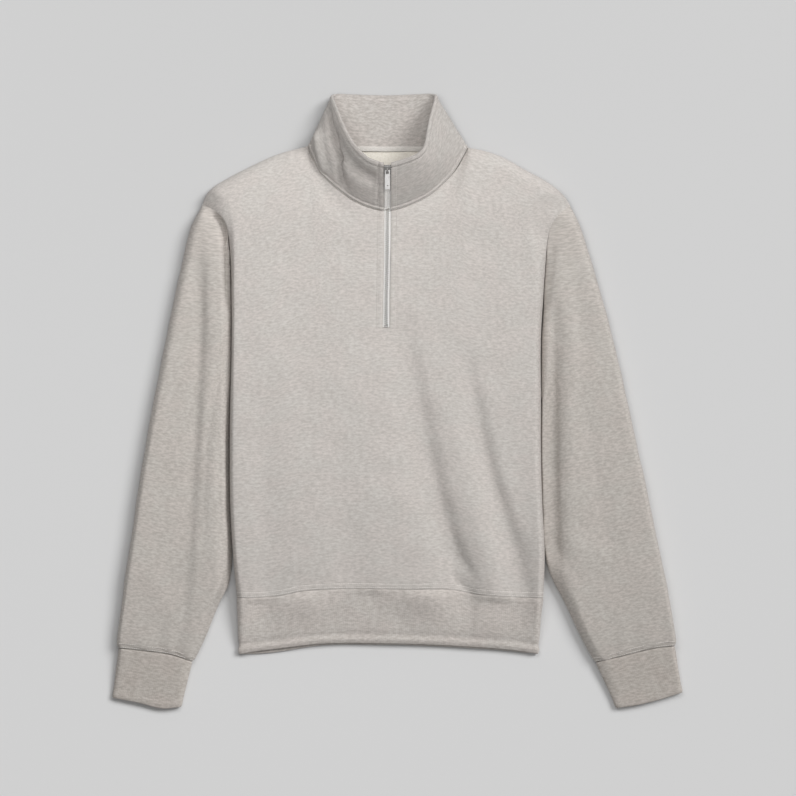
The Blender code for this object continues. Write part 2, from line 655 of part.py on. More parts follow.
def collar_base(front, back):
    """The neck seam's points, from the zip round the left, the back and the right."""
    first, middle = neck_columns(FRONT_STEPS)
    left = front[-1, first: middle][::-1].copy()
    right = front[-1, middle + 1: front.shape[1] - first][::-1].copy()
    for half in (left, right):
        inward = NECK_MIDDLE - half[:, :2]
        half[:, :2] += SEAM_FRONT_NECK * inward / np.linalg.norm(inward, axis=1, keepdims=True)
    left[0, 0] = front[-1, middle - 1, 0]
    right[-1, 0] = front[-1, middle + 1, 0]
    first = neck_columns(BACK_STEPS)[0]
    behind = back[-1, first + 1: back.shape[1] - first - 1].copy()
    behind[:, 1] += SEAM
    return np.concatenate([left, behind, right]), len(left), len(behind)


def collar_around(front_count, back_count):
    left = np.linspace(0, SIDE_AROUND, front_count)
    back = np.linspace(SIDE_AROUND, 1 - SIDE_AROUND, back_count + 2)[1:-1]
    return np.concatenate([left, back, 1 - left[::-1]])


def collar_grid(front, back):
    """The collar's outer face: rows go up from the neck seam, columns round the ring."""
    base, front_count, back_count = collar_base(front, back)
    around = collar_around(front_count, back_count)
    top = np.column_stack([through(COLLAR_TOP["around"], COLLAR_TOP[k], around) for k in "xyz"])
    rows = np.array([base + (top - base) * t for t in np.linspace(0, 1, COLLAR_ROWS + 1)])
    normal = grid_normals(rows, closed=False)
    up = np.linspace(0, 1, COLLAR_ROWS + 1)[:, None]
    from_zip = np.minimum(around, 1 - around) / SIDE_AROUND
    swell = COLLAR_BULGE * np.sin(math.pi * up) ** 1.5 * np.sin(math.pi * np.clip(from_zip, 0, 1))
    height = np.linalg.norm(rows[-1] - rows[0], axis=1)
    halfway = (rows[0] + rows[-1]) / 2
    ring = np.concatenate([[0], np.cumsum(np.linalg.norm(np.diff(halfway, axis=0), axis=1))])
    for around0, up0, around1, up1, width, depth in zip(*COLLAR_CREASES.values()):
        start, end = np.interp([around0, around1], around, ring)
        away = beside_line(ring[None, :], up * height, start, up0 * height, end, up1 * height)
        swell = swell - depth * np.exp(-((away / width) ** 2)) * np.sin(math.pi * up) ** 0.5
    rows = rows - normal * swell[:, :, None]
    rows[:, :, 2] = np.maximum(rows[:, :, 2], 0)
    return rows


# Meshes

def finish_mesh(name, points, faces, material):
    """A smooth-shaded object from points in millimetres."""
    mesh = bpy.data.meshes.new(name)
    mesh.from_pydata([tuple(p) for p in np.asarray(points) * MM], [], faces)
    shaper = bmesh.new()
    shaper.from_mesh(mesh)
    bmesh.ops.recalc_face_normals(shaper, faces=shaper.faces)
    bmesh.ops.triangulate(shaper, faces=shaper.faces)
    shaper.to_mesh(mesh)
    shaper.free()
    mesh.shade_smooth()
    mesh.set_sharp_from_angle(angle=math.radians(SHARP_ANGLE))
    return add_object(name, mesh, material)


def add_object(name, mesh, material):
    thing = bpy.data.objects.new(name, mesh)
    bpy.data.collections[COLLECTION].objects.link(thing)
    mesh.materials.clear()
    mesh.materials.append(make_material(material))
    return thing


def make_material(name):
    material = bpy.data.materials.get(name) or bpy.data.materials.new(name)
    colour, roughness, metallic = COLOURS[name]
    material.use_nodes = True
    shader = material.node_tree.nodes["Principled BSDF"]
    shader.inputs["Base Color"].default_value = (*colour, 1)
    shader.inputs["Roughness"].default_value = roughness
    shader.inputs["Metallic"].default_value = metallic
    return material


def wall(name, outer, inner, material, closed=False, keep=None, fold=0.0):
    """A closed wall between two grids of points.

    keep marks the cells that are cloth, closed wraps the columns, and fold rounds the
    rim of the last row over by that many millimetres, as a folded edge is.
    """
    rows, columns = outer.shape[:2]
    spans = columns if closed else columns - 1
    keep = np.ones((rows - 1, spans), bool) if keep is None else keep
    points, index = [], {}

    def at(layer, i, j):
        key = (layer, i, j % columns)
        if key not in index:
            index[key] = len(points)
            points.append((outer, inner)[layer][i, j % columns])
        return index[key]

    def folded(j):
        key = ("fold", j % columns)
        if key not in index:
            a, b = outer[-1, j % columns], inner[-1, j % columns]
            way = outer[-1, j % columns] - outer[-2, j % columns]
            index[key] = len(points)
            points.append((a + b) / 2 + fold * way / np.linalg.norm(way))
        return index[key]

    faces = []
    edges = {}
    for i in range(rows - 1):
        for j in range(spans):
            if not keep[i, j]:
                continue
            corners = ((i, j), (i, j + 1), (i + 1, j + 1), (i + 1, j))
            faces.append([at(0, *c) for c in corners])
            faces.append([at(1, *c) for c in reversed(corners)])
            for a, b in zip(corners, corners[1:] + corners[:1]):
                a, b = (a[0], a[1] % columns), (b[0], b[1] % columns)
                if (b, a) in edges:
                    edges.pop((b, a))
                else:
                    edges[(a, b)] = True
    for a, b in edges:
        if fold and a[0] == b[0] == rows - 1:
            faces.append([at(0, *b), at(0, *a), folded(a[1]), folded(b[1])])
            faces.append([folded(b[1]), folded(a[1]), at(1, *a), at(1, *b)])
        else:
            faces.append([at(0, *b), at(0, *a), at(1, *a), at(1, *b)])
    if fold and not closed:
        for j in (0, columns - 1):
            faces.append([at(0, rows - 1, j), folded(j), at(1, rows - 1, j)])
    return finish_mesh(name, points, faces, material)


def ribbon(name, path, normal, sides, depths, material):
    """A strip along a path in the plane of the zip: sides are X from the path."""
    points, faces = [], []
    for i, (point, up) in enumerate(zip(path, normal)):
        for side, depth in ((0, 0), (1, 0), (1, 1), (0, 1)):
            points.append(point + (sides[side], 0, 0) - up * depths[i][depth])
    for i in range(len(path) - 1):
        for k in range(4):
            a, b = 4 * i + k, 4 * i + (k + 1) % 4
            faces.append([a, b, b + 4, a + 4])
    faces.append([3, 2, 1, 0])
    faces.append([len(points) - 4 + k for k in range(4)])
    return finish_mesh(name, points, faces, material)


# Zip

def zip_path(front, collar):
    """The zip's line on the cloth's outer face, its normals, and each point's share of collar."""
    centre = neck_columns(FRONT_STEPS)[1]
    first = slit_first_row(front)
    on_front = front[first:, centre]
    on_front = on_front[on_front[:, 1] < on_front[-1, 1] - 0.1]
    on_collar = (collar[:, 0] + collar[:, -1]) / 2
    path = np.concatenate([on_front, on_collar])
    along = np.gradient(path, axis=0)
    normal = np.cross((1, 0, 0), along)
    normal /= np.linalg.norm(normal, axis=1, keepdims=True)
    is_collar = np.arange(len(path)) >= len(on_front)
    return path, normal, is_collar


def slit_first_row(front):
    centre = neck_columns(FRONT_STEPS)[1]
    return int(np.argmin(abs(front[:, centre, 1] - ZIP_BOTTOM_Y)))


def cut_box(thing, name, size, location):
    """Cuts a box, given in the thing's own frame, out of it."""
    bpy.ops.mesh.primitive_cube_add(size=1, location=(0, 0, 0))
    cutter = bpy.context.object
    cutter.name = name
    cutter.data.transform(Matrix.Translation(Vector(location) * MM)
                          @ Matrix.Diagonal((*(Vector(size) * MM), 1)))
    hide_cutter(cutter, thing)
    subtract(thing, cutter)


def hide_cutter(cutter, thing):
    for owner in list(cutter.users_collection):
        owner.objects.unlink(cutter)
    bpy.data.collections["cutters"].objects.link(cutter)
    cutter.matrix_world = thing.matrix_world
    cutter.hide_render = True
    cutter.display_type = "WIRE"


def subtract(thing, cutter, operation="DIFFERENCE"):
    modifier = thing.modifiers.new(cutter.name, "BOOLEAN")
    modifier.operation = operation
    modifier.solver = "EXACT"
    modifier.object = cutter


def rounded_box(name, size, location, matrix, material, bevel):
    """A bevelled box in its own frame, placed by matrix."""
    bpy.ops.mesh.primitive_cube_add(size=1, location=(0, 0, 0))
    box = bpy.context.object
    box.name = name
    box.data.transform(Matrix.Translation(Vector(location) * MM)
                       @ Matrix.Diagonal((*(Vector(size) * MM), 1)))
    for owner in list(box.users_collection):
        owner.objects.unlink(box)
    bpy.data.collections[COLLECTION].objects.link(box)
    box.matrix_world = matrix
    box.data.materials.append(make_material(material))
    edge = box.modifiers.new("edges", "BEVEL")
    edge.width = bevel * MM
    edge.segments = 2
    return box


def build_slider(path):
    """Slider body with its bridge, and the pull tab that turns under the bridge."""
    way = path[-1] - path[-2]
    way /= np.linalg.norm(way)
    up = np.cross((1, 0, 0), way)
    middle = path[-1] - way * SLIDER_FROM_TOP
    frame = Matrix((
        (1, way[0], up[0], middle[0] * MM),
        (0, way[1], up[1], middle[1] * MM),
        (0, way[2], up[2], middle[2] * MM),
        (0, 0, 0, 1),
    ))
    bpy.context.view_layer.update()
    slider = rounded_box("zip_slider", (SLIDER_WIDTH, SLIDER_LENGTH, SLIDER_DEEP),
                         (0, 0, SLIDER_PROUD - SLIDER_DEEP / 2), frame, "metal", SLIDER_EDGE)
    bridge = rounded_box("bridge", (BRIDGE_WIDTH, BRIDGE_LENGTH, BRIDGE_HIGH + BRIDGE_SUNK),
                         (0, 0, SLIDER_PROUD + (BRIDGE_HIGH - BRIDGE_SUNK) / 2), frame, "metal",
                         BRIDGE_EDGE)
    bpy.data.collections[COLLECTION].objects.unlink(bridge)
    bpy.data.collections["cutters"].objects.link(bridge)
    bridge.hide_render = True
    bridge.display_type = "WIRE"
    subtract(slider, bridge, "UNION")
    cut_box(slider, "tunnel", (BRIDGE_WIDTH + 2, TUNNEL_LENGTH, TUNNEL_HIGH),
            (0, 0, SLIDER_PROUD + TUNNEL_HIGH / 2))
    axis_at = frame @ Vector((0, 0, (SLIDER_PROUD + TUNNEL_HIGH / 2) * MM))
    pull_frame = frame.copy()
    pull_frame.translation = axis_at
    pull = rounded_box("zip_pull", (PULL_WIDTH, PULL_LENGTH + PULL_BAR, PULL_THICK),
                       (0, (PULL_BAR - PULL_LENGTH) / 2, 0), pull_frame, "metal", PULL_EDGE)
    cut_box(pull, "eye", (EYE_WIDTH, EYE_LENGTH, PULL_THICK * 2),
            (0, -PULL_BAR - EYE_LENGTH / 2, 0))
    bpy.ops.mesh.primitive_cylinder_add(
        vertices=16, radius=PULL_HOLE_RADIUS * MM, depth=PULL_THICK * 2 * MM)
    hole = bpy.context.object
    hole.name = "pull_hole"
    hole.data.transform(Matrix.Translation((0, -PULL_HOLE_FROM_AXIS * MM, 0)))
    hide_cutter(hole, pull)
    subtract(pull, hole)


def trimmed(path, normal, drop, from_bottom, from_top):
    """The zip's line without a length at either end."""
    run = np.concatenate([[0], np.cumsum(np.linalg.norm(np.diff(path, axis=0), axis=1))])
    inside = run[(run > from_bottom + 1) & (run < run[-1] - from_top - 1)]
    at = np.concatenate([[from_bottom], inside, [run[-1] - from_top]])
    line = np.column_stack([np.interp(at, run, path[:, k]) for k in range(3)])
    up = np.column_stack([np.interp(at, run, normal[:, k]) for k in range(3)])
    up /= np.linalg.norm(up, axis=1, keepdims=True)
    return line, up, np.interp(at, run, drop)


def build_zip(front, collar):
    path, normal, is_collar = zip_path(front, collar)
    drop = np.where(is_collar, COLLAR_TAPE_DROP, 0.0)
    line, up, lower = trimmed(path, normal, drop, SEAM, TAPE_END)
    tape_depth = [(CLOTH + TAPE_GAP + d, CLOTH + TAPE_GAP + TAPE_THICK + d) for d in lower]
    ribbon("zip_tape_left", line, up, (-TAPE_OUTER, -TAPE_INNER), tape_depth, "zip_tape")
    ribbon("zip_tape_right", line, up, (TAPE_INNER, TAPE_OUTER), tape_depth, "zip_tape")
    slider_end = SLIDER_FROM_TOP + SLIDER_LENGTH / 2 + SEAM
    stop_end = SEAM + STOP_LENGTH
    line, up, lower = trimmed(path, normal, drop, stop_end + SEAM, slider_end)
    chain_depth = [(CHAIN_SUNK + d, CHAIN_SUNK + CHAIN_THICK + d) for d in lower]
    ribbon("zip_chain", line, up, (-CHAIN_HALF, CHAIN_HALF), chain_depth, "metal")
    line, up, lower = trimmed(path, normal, drop, SEAM, 0)
    stop = line[0] + (line[1] - line[0]) / np.linalg.norm(line[1] - line[0]) * STOP_LENGTH
    stop_depth = [(STOP_SUNK, CHAIN_SUNK + CHAIN_THICK)] * 2
    ribbon("zip_bottom_stop", [line[0], stop], up[:2], (-CHAIN_HALF, CHAIN_HALF), stop_depth, "metal")
    build_slider(path)


def slit_mask(front):
    """The front's cells that are cloth: all but the two columns over the zip."""
    keep = np.ones((front.shape[0] - 1, front.shape[1] - 1), bool)
    centre = neck_columns(FRONT_STEPS)[1]
    keep[slit_first_row(front):, centre - 1: centre + 1] = False
    return keep


def inner_face(outer, thickness, closed, turn=1, square_start=False):
    """The inner face of a wall; the first row's rim can stand square to the length."""
    normal = grid_normals(outer, closed)
    if square_start:
        normal[0] = plumb(normal[0])
    return outer - turn * thickness * normal


def build_neck_tape(collar, inner):
    """A flat tape over the back neck seam, on the collar's inner face."""
    first = FRONT_STEPS["neck"] + 2
    count = collar.shape[1] - 2 * first
    inside = inner[:2, first: first + count]
    out = inside - collar[:2, first: first + count]
    out /= np.linalg.norm(out, axis=2, keepdims=True)
    height = np.linalg.norm(inside[1] - inside[0], axis=1)
    lower = inside[0] + out[0] * SEAM
    upper = lower + (inside[1] + out[1] * SEAM - lower) * (NECK_TAPE / height)[:, None]
    face = np.array([lower, upper])
    wall("neck_tape", face + out * NECK_TAPE_THICK, face, "tape")


def new_collection(name):
    collection = bpy.data.collections.get(name) or bpy.data.collections.new(name)
    if collection.name not in bpy.context.scene.collection.children:
        bpy.context.scene.collection.children.link(collection)


def build():
    for old in list(bpy.data.objects):
        bpy.data.objects.remove(old, do_unlink=True)
    new_collection(COLLECTION)
    new_collection("cutters")

    front, front_inner = body_panel(NECKLINE, FRONT_STEPS, upper=True)
    back, back_inner = body_panel(BACK_NECK, BACK_STEPS, upper=False)
    wall("front_panel", front, front_inner, "fleece", keep=slit_mask(front))
    wall("back_panel", back, back_inner, "fleece")

    for side, turn in (("left", 1), ("right", -1)):
        sleeve = sleeve_grid(side, front, back)
        wall("sleeve_" + side, sleeve, inner_face(sleeve, CLOTH, True, -turn), "fleece", closed=True)
        cuff = cuff_grid(side, sleeve)
        cuff_inner = inner_face(cuff, DOUBLED, True, -turn)
        wall("cuff_" + side, cuff, cuff_inner, "rib", closed=True, fold=FOLD_ROUND)

    band = band_grid(front, back)
    band_inner = inner_face(band, DOUBLED, True, -1, square_start=True)
    wall("waistband", band, band_inner, "rib", closed=True, fold=FOLD_ROUND)

    collar = collar_grid(front, back)
    collar_inner = inner_face(collar, DOUBLED, False, -1)
    wall("collar", collar, collar_inner, "fleece", fold=FOLD_ROUND)
    build_neck_tape(collar, collar_inner)
    build_zip(front, collar)


build()
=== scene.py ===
"""Looks of the quarter zip sweatshirt, laid flat on a pale floor and seen from above.

Each piece of cloth is a thin shell on its solid's form, worked out from the same named
sizes and tables with finer steps, and then given its seams, creases and knit. Sizes here
are in millimetres and become metres when a mesh is made.
"""

import math

import bmesh
import bpy
import numpy as np
from mathutils import Matrix, Vector


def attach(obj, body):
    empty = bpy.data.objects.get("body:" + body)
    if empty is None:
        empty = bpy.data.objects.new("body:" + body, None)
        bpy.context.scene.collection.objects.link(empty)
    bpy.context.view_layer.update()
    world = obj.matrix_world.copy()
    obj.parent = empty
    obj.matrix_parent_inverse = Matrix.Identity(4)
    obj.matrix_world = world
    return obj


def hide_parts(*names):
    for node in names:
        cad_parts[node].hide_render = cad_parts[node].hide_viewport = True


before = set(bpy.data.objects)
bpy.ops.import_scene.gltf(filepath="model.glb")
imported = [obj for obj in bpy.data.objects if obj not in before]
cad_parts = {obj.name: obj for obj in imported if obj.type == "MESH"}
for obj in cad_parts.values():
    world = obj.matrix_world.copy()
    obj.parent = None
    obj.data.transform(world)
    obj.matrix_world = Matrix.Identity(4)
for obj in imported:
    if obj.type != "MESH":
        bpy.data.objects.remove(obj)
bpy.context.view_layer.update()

MM = 0.001
TINY = 1e-6
SIDES = {"left": -1, "right": 1}


def table(columns, rows):
    """A table's columns by name; the first one is what it is read by."""
    return dict(zip(columns.split(), np.array(rows, float).T))


def spaced(*parts):
    """Numbers as given, and runs of them as (first, last, count)."""
    return np.concatenate([np.linspace(*part) if isinstance(part, tuple) else [part] for part in parts])


# Cloth
CLOTH = 2.2            # brushed fleece, one layer
DOUBLED = 3.4          # rib and collar, two layers pressed together
SEAM = 0.3             # gap between two pieces where they are sewn together
ARM_SEAM = 0.05        # the same at the armholes, where it hardly shows
FOLD_ROUND = 1.2       # how far a folded edge rounds out past its last row

# Body
HEM_Y = -261.0         # seam with the waistband, at the sides
UNDERARM_Y = 4.0
SHOULDER_Y = 265.0     # where sleeve, front and back meet on the outline
TOP_ROLL = 16.0        # how far the panels take to round over at the shoulder seams
NECK_RISE = 40.0       # below the neck seam it rises gently over this length
NECK_FLAT, NECK_TURN = 78.0, 34.0   # where, out from the middle, one becomes the other
SHOULDER_SLANT = 0.87  # cosine of the shoulder's slope
DOME = 0.10            # share of its height that the front loses towards the sides

# Zip
SLIT = 10.0            # width of the opening that shows the zip
ZIP_BOTTOM_Y = 100.0
TAPE_OUTER = 8.5       # half width of the whole zip
TAPE_GAP = 0.5         # from the cloth's inner face
TAPE_INNER = 2.6
TAPE_END = 6.0         # left free under the collar's top edge
COLLAR_TAPE_DROP = DOUBLED - CLOTH + TAPE_GAP

# The armhole seams turn soft towards the shoulder points: from which height, over what length.
SOFT_FROM = {"left": 242.0, "right": 195.0}
SOFT_SPAN = {"left": 14.0, "right": 30.0}
TIP_Y, TIP_SPAN = 225.0, 25.0   # and from here its stitching fades

# Grid steps, finer than the solids'
HEM_ROWS = spaced((0, 3, 7), 4, 5, (6, 8, 5), 9, 10.5, 12.5, (15, 261, 62))
ROWS_BELOW = len(HEM_ROWS)
ARMHOLE_STEPS = spaced((0, 0.85, 37), (0.865, 0.97, 8), (0.976, 1, 6))
FRONT_SHARES = spaced((0.04, 0.84, 21), 0.865, (0.885, 0.99, 8), 1)
FRONT_STEPS = {"roll": 9, "shoulder": 22, "neck": len(FRONT_SHARES), "shares": FRONT_SHARES}
BACK_SHARES = np.linspace(0, 1, 19)[1:]
BACK_STEPS = {"roll": 6, "shoulder": 10, "neck": len(BACK_SHARES), "shares": BACK_SHARES}
COLLAR_SHARES = spaced(
    (0, 0.014, 3), (0.022, 0.052, 4), 0.06, 0.068, 0.078, 0.092, (0.115, 0.885, 34),
    0.898, 0.908, 0.916, 0.924, 0.934, 0.95, 0.966, 0.98, 0.992, 1,
)
BAND_SHARES = spaced(
    0, 0.008, 0.016, 0.028, 0.045, 0.065, (0.09, 0.91, 40), 0.93, 0.95, 0.97, 0.985, 1
)
CUFF_SHARES = spaced(0, 0.008, 0.018, 0.032, 0.05, 0.07, (0.1, 0.92, 30), (0.94, 1, 4))
SLEEVE_ROWS = spaced(0, 0.004, 0.01, 0.02, (0.032, 0.968, 84), 0.978, 0.986, 0.992, 0.996, 1)
ARMHOLE_SAMPLES = 2000
ROLL_COLUMNS = 8

# The body's outline and the heights of its edges, from the hem to the shoulder point.
# mouth is the height of the opening between front and back, which a seam closes to 0.4;
# the reaches are how far in the panels take to round over at each side.
BODY_SIDE = table("y left right front_z mouth left_reach right_reach", [
    (-261, -214.5, 195, 12, 0.4, 8, 9),
    (-210, -219.5, 197, 13.6, 0.4, 6, 9),
    (-130, -224, 193.5, 14.2, 0.4, 6, 9),
    (-63, -224.5, 191.8, 13.2, 0.4, 6, 9),
    (4, -224, 192, 9.2, 0.4, 6, 9),
    (35, -223, 191.8, 9.6, 5.6, 5, 9),
    (84, -222.2, 192, 10, 8, 5, 9),
    (138, -222.2, 195, 11, 9.4, 5, 11),
    (189, -223.2, 198.5, 14, 12.2, 6, 20),
    (218, -225.5, 201, 20.5, 18.1, 8, 34),
    (238, -229.5, 206, 25.5, 22.2, 9, 38),
    (252, -238.5, 216, 24.5, 19.6, 11, 34),
    (260, -249.5, 225.5, 17.5, 10, 13, 24),
    (265, -261, 230.5, 9.2, 0.4, 15, 15),
])

CROWN = table("y z", [
    (-261, 26), (-200, 30), (-60, 33), (90, 34), (200, 34.5), (256, 34.5),
    (300, 29), (345, 20),
])

CENTRE_LINE = table("y x", [(-261, -13), (-80, -15.5), (100, -15.4), (255, -13.4), (345, -13.4)])

HEM_SEAM = table("x y", [
    (-215, -261), (-180, -260), (-155, -257.5), (-130, -252), (-97, -249.5),
    (10, -249.5), (77, -250.5), (105, -256), (150, -259.5), (198, -261),
])

SHOULDER_LEFT = table("x y", [
    (-261, 265), (-256, 277.5), (-248, 287), (-231, 298), (-199, 315),
    (-160, 332.5), (-138, 339), (-119.9, 343.5),
])
SHOULDER_RIGHT = table("x y", [
    (94.6, 341.5), (115, 337.5), (141, 328.5), (172, 311), (200, 295.8),
    (219, 281), (226, 273), (230.5, 265),
])
NECKLINE = table("x y z", [
    (-119.9, 343.5, 9.2), (-117, 335, 13.5), (-112.2, 325, 18.5), (-98.8, 303, 25.5),
    (-78.7, 284, 30.5), (-57, 268.8, 33.5), (-36.9, 260.2, 34.3), (-13.4, 256, 34.5),
    (3.4, 259, 34.3), (23.5, 266.7, 33.4), (43.6, 277.3, 31.2), (60.3, 291.5, 27.8),
    (77.1, 310.5, 22), (87.5, 328, 15.5), (94.6, 341.5, 9.2),
])
BACK_NECK = table("x y z", [
    (-119.9, 343.5, 8.8), (-110, 340.5, 5.6), (-92, 338.2, 1.6), (-60, 337, 0.2),
    (-13.4, 336.6, 0), (35, 336.9, 0.2), (67, 337.8, 1.6), (85, 339.4, 5.6),
    (94.6, 341.5, 8.8),
])
NECK_LEFT, NECK_RIGHT = -119.9, 94.6
NECK_AT_HEM = (-102.0, 80.0)   # where the columns below the neck's ends meet the hem

# The front's largest folds: soft troughs, or ridges where the depth is below zero.
FRONT_FOLDS = {
    "main_trough": table("y x width depth", [
        (-261, 106, 15, 6.6), (-215, 90, 15, 9.4), (-130, 65, 16, 9), (-20, 41, 16, 6.4),
        (84, 20, 14, 2.8), (140, 8, 13, 0),
    ]),
    "ridge_beside_it": table("y x width depth", [
        (-261, 136, 17, -3.4), (-200, 118, 19, -3.6), (-100, 93, 19, -2), (60, 52, 20, 0),
    ]),
    "second_trough": table("y x width depth", [
        (-261, 182, 14, 3), (-190, 162, 13, 6.6), (-90, 130, 11, 7.4), (0, 111, 11, 4.6),
        (100, 92, 12, 0),
    ]),
    "right_edge_ridge": table("y x width depth", [
        (-261, 206, 28, -9), (-180, 206, 28, -8), (-110, 202, 22, -3), (-50, 198, 18, 0),
    ]),
    "left_hollow": table("y x width depth", [
        (-261, -58, 24, 1.6), (-140, -64, 24, 1.2), (20, -60, 24, 0),
    ]),
    "left_edge_hollow": table("y x width depth", [
        (-261, -172, 18, 1.8), (-90, -178, 17, 1.2), (70, -178, 16, 0),
    ]),
}

STEEP_FOLDS = ("main_trough", "second_trough")
STEEP_SHIFT, STEEP_SIDE, GENTLE_SIDE = 0.55, 0.85, 2.0   # in widths: place, right side, left side

# Waistband: where its lower edge runs, in front and behind, and its puffs at the seam.
BAND_END = table("x front_y back_y", [
    (-212.5, -334.5, -337), (-160, -328.5, -332.5), (-110, -322.5, -324.5), (-17, -321.5, -323),
    (90, -325.5, -327), (150, -330, -331.5), (188.5, -334.5, -336),
])
BAND_SIDES = (-212.5, 188.5)
BAND_CROWN = 7.8
BAND_EDGE_Z = 4.8
BAND_ROLL = 6.0
BAND_CORNER = 25.0     # its lower edges meet over this length at each side
PUFF_LENGTH = 0.3      # share of the band's height
BAND_PUFFS = table("x along width height", [
    (-122, 0.24, 26, 4.2), (44, 0.18, 28, 4), (-35, 0.14, 20, -2.4), (132, 0.14, 22, -3),
    (-184, 0.16, 16, -2.2), (5, 0.55, 20, -1.6), (-80, 0.60, 24, -1.4), (95, 0.62, 30, 1.6),
    (-150, 0.66, 22, 1.4),
])

# Sleeves: outline points of each section, how the inner edge lies, and its height.
SLEEVE_COLUMNS = "v out_x out_y in_x in_y lip rise crown"
SLEEVES = {
    "left": table(SLEEVE_COLUMNS, [
        (0.00, -261, 265, -224, 4, 19, 40, 22),
        (0.10, -276.5, 234.5, -224.2, -1, 19, 40, 23.5),
        (0.20, -288, 189, -224.2, -13, 19, 40, 23),
        (0.32, -302, 124.5, -224.2, -29, 19, 40, 22),
        (0.44, -316.5, 54.5, -224.4, -50, 19, 40, 22),
        (0.56, -331, -23, -224.6, -87.5, 19, 40, 22),
        (0.68, -345, -103.5, -223.6, -143.5, 18.5, 36, 22),
        (0.78, -355.8, -177, -221.4, -201, 16.5, 30, 21.5),
        (0.85, -362.8, -224, -226.5, -243, 14, 20, 21),
        (0.90, -368, -259, -239.5, -270.5, 13.5, 15, 20),
        (0.97, -375.2, -320, -268.5, -339, 13, 12, 17),
        (1.00, -373.5, -328.5, -274.5, -346.5, 11.5, 12, 14.5),
    ]),
    "right": table(SLEEVE_COLUMNS, [
        (0.00, 230.5, 265, 192.2, 4, 12.5, 30, 22),
        (0.10, 244.5, 236.5, 192.6, -1, 12.5, 30, 23.5),
        (0.20, 260, 188.5, 192.4, -13, 12.4, 32, 23),
        (0.32, 279.4, 121.5, 192.2, -29, 12.4, 32, 22),
        (0.44, 296.2, 54.5, 192, -50, 12.4, 32, 22),
        (0.56, 313.4, -23, 192.2, -87.5, 12.4, 30, 22),
        (0.68, 331, -103.5, 193.8, -143.5, 12.4, 28, 22),
        (0.78, 345.6, -173, 197, -200, 12, 26, 21.5),
        (0.85, 355.4, -218.5, 207, -235, 12.5, 20, 21),
        (0.90, 362.4, -256, 222.4, -264.5, 13.5, 15, 20),
        (0.97, 372.6, -318, 258.5, -338.5, 13, 12, 17),
        (1.00, 371.2, -325.5, 265.5, -347.5, 11.5, 12, 14.5),
    ]),
}
SLEEVE_EDGE_Z = 5.5
SLEEVE_OUT_ROLL = 5.5
SLEEVE_CROWDING = 1.5           # its columns lie closer together towards the inner edge
SLEEVE_LIP_ROLL = {"left": 11.0, "right": 4.0}   # its inner edge, tucked in beside the body
SLEEVE_LIP_SOFT = {"left": 1.0, "right": 0.0}
SLEEVE_UNDER_ROLL = 5.0
SLEEVE_FREE_ROLL = 10.0        # the same edge below the body
SLEEVE_LEAST_ROLL = 6.0
SLEEVE_TUCK_Z = {"left": 5.0, "right": 9.5}
SLEEVE_FREE_Z = 7.5
SLEEVE_FREE_FROM, SLEEVE_FREE_SPAN = 0.80, 0.08
SLEEVE_HEAD_SPAN = 0.2         # over this much of v its columns leave the armhole's spacing
ARM_RISE = {"left": 13.0, "right": 26.0}   # over this length its height leaves the armhole's
OUTLINE_STEP = 0.01
LEAST_SINE = 0.35

# A soft crease down each sleeve: how far across from the outer edge, and between which v.
SLEEVE_CREASES = {
    "left": {"across": 0.66, "start": 0.05, "end": 0.80, "width": 8, "depth": 2.0},
    "right": {"across": 0.45, "start": 0.30, "end": 0.85, "width": 12, "depth": 1.2},
}

# Cuffs: seam and end line, from the outer edge to the inner one.
CUFFS = {
    "left": table("across seam_x seam_y end_x end_y", [
        (0, -373.5, -329.5, -381.7, -394), (0.3, -345, -332.5, -349, -400.5),
        (0.7, -303, -338.5, -314, -408.5), (1, -275.5, -347.5, -290, -406.5),
    ]),
    "right": table("across seam_x seam_y end_x end_y", [
        (0, 371, -326.5, 381.4, -387), (0.3, 343, -330, 353, -396),
        (0.7, 300, -340.5, 318, -404.5), (1, 266.5, -348.5, 293, -408),
    ]),
}
CUFF_CROWN = 7.6
CUFF_EDGE_Z = 4.2
CUFF_ROLL = 6.0

# Collar: its top edge, from the zip round the left, the back and the right.
COLLAR_TOP = table("around x y z", [
    (0.00, -18.4, 317, 71), (0.04, -28, 319.5, 71.2), (0.08, -41, 325.5, 70),
    (0.13, -57, 341.5, 66), (0.18, -69.5, 362, 58), (0.23, -79.2, 385, 45.5),
    (0.27, -86, 402, 31), (0.30, -88.6, 410.3, 19), (0.33, -84.4, 412.6, 9),
    (0.38, -66, 412.2, 4.6), (0.50, -15.4, 410.6, 3.2), (0.62, 30, 412.4, 4.6),
    (0.67, 47.6, 413, 9), (0.70, 52, 410.6, 19), (0.73, 50.4, 401.5, 31),
    (0.77, 46, 385, 45), (0.82, 41.6, 363, 57.5), (0.87, 38.2, 343, 66),
    (0.92, 27.5, 329.5, 70), (0.96, 10.5, 322.5, 71.2), (1.00, -8.4, 317, 71),
])
SIDE_AROUND = 0.29     # share of the ring from the zip to the shoulder seam
NECK_MIDDLE = (-13.4, 338.0)
SEAM_FRONT_NECK = 0.4
BACK_SPREAD = 0.8      # share of the back half that its columns beside the middle take
COLLAR_BULGE = 3.0
COLLAR_CREASES = table("around0 up0 around1 up1 width depth", [
    (0.262, 0.80, 0.158, 0.52, 5, 10.5), (0.158, 0.52, 0.108, 0.14, 5, 9.5),
    (0.200, 0.74, 0.050, 0.64, 9.5, 7.5), (0.245, 0.36, 0.180, 0.08, 8.5, -10),
])

NECK_TAPE = 6.5        # width of the tape inside the back neck
NECK_TAPE_THICK = 0.9

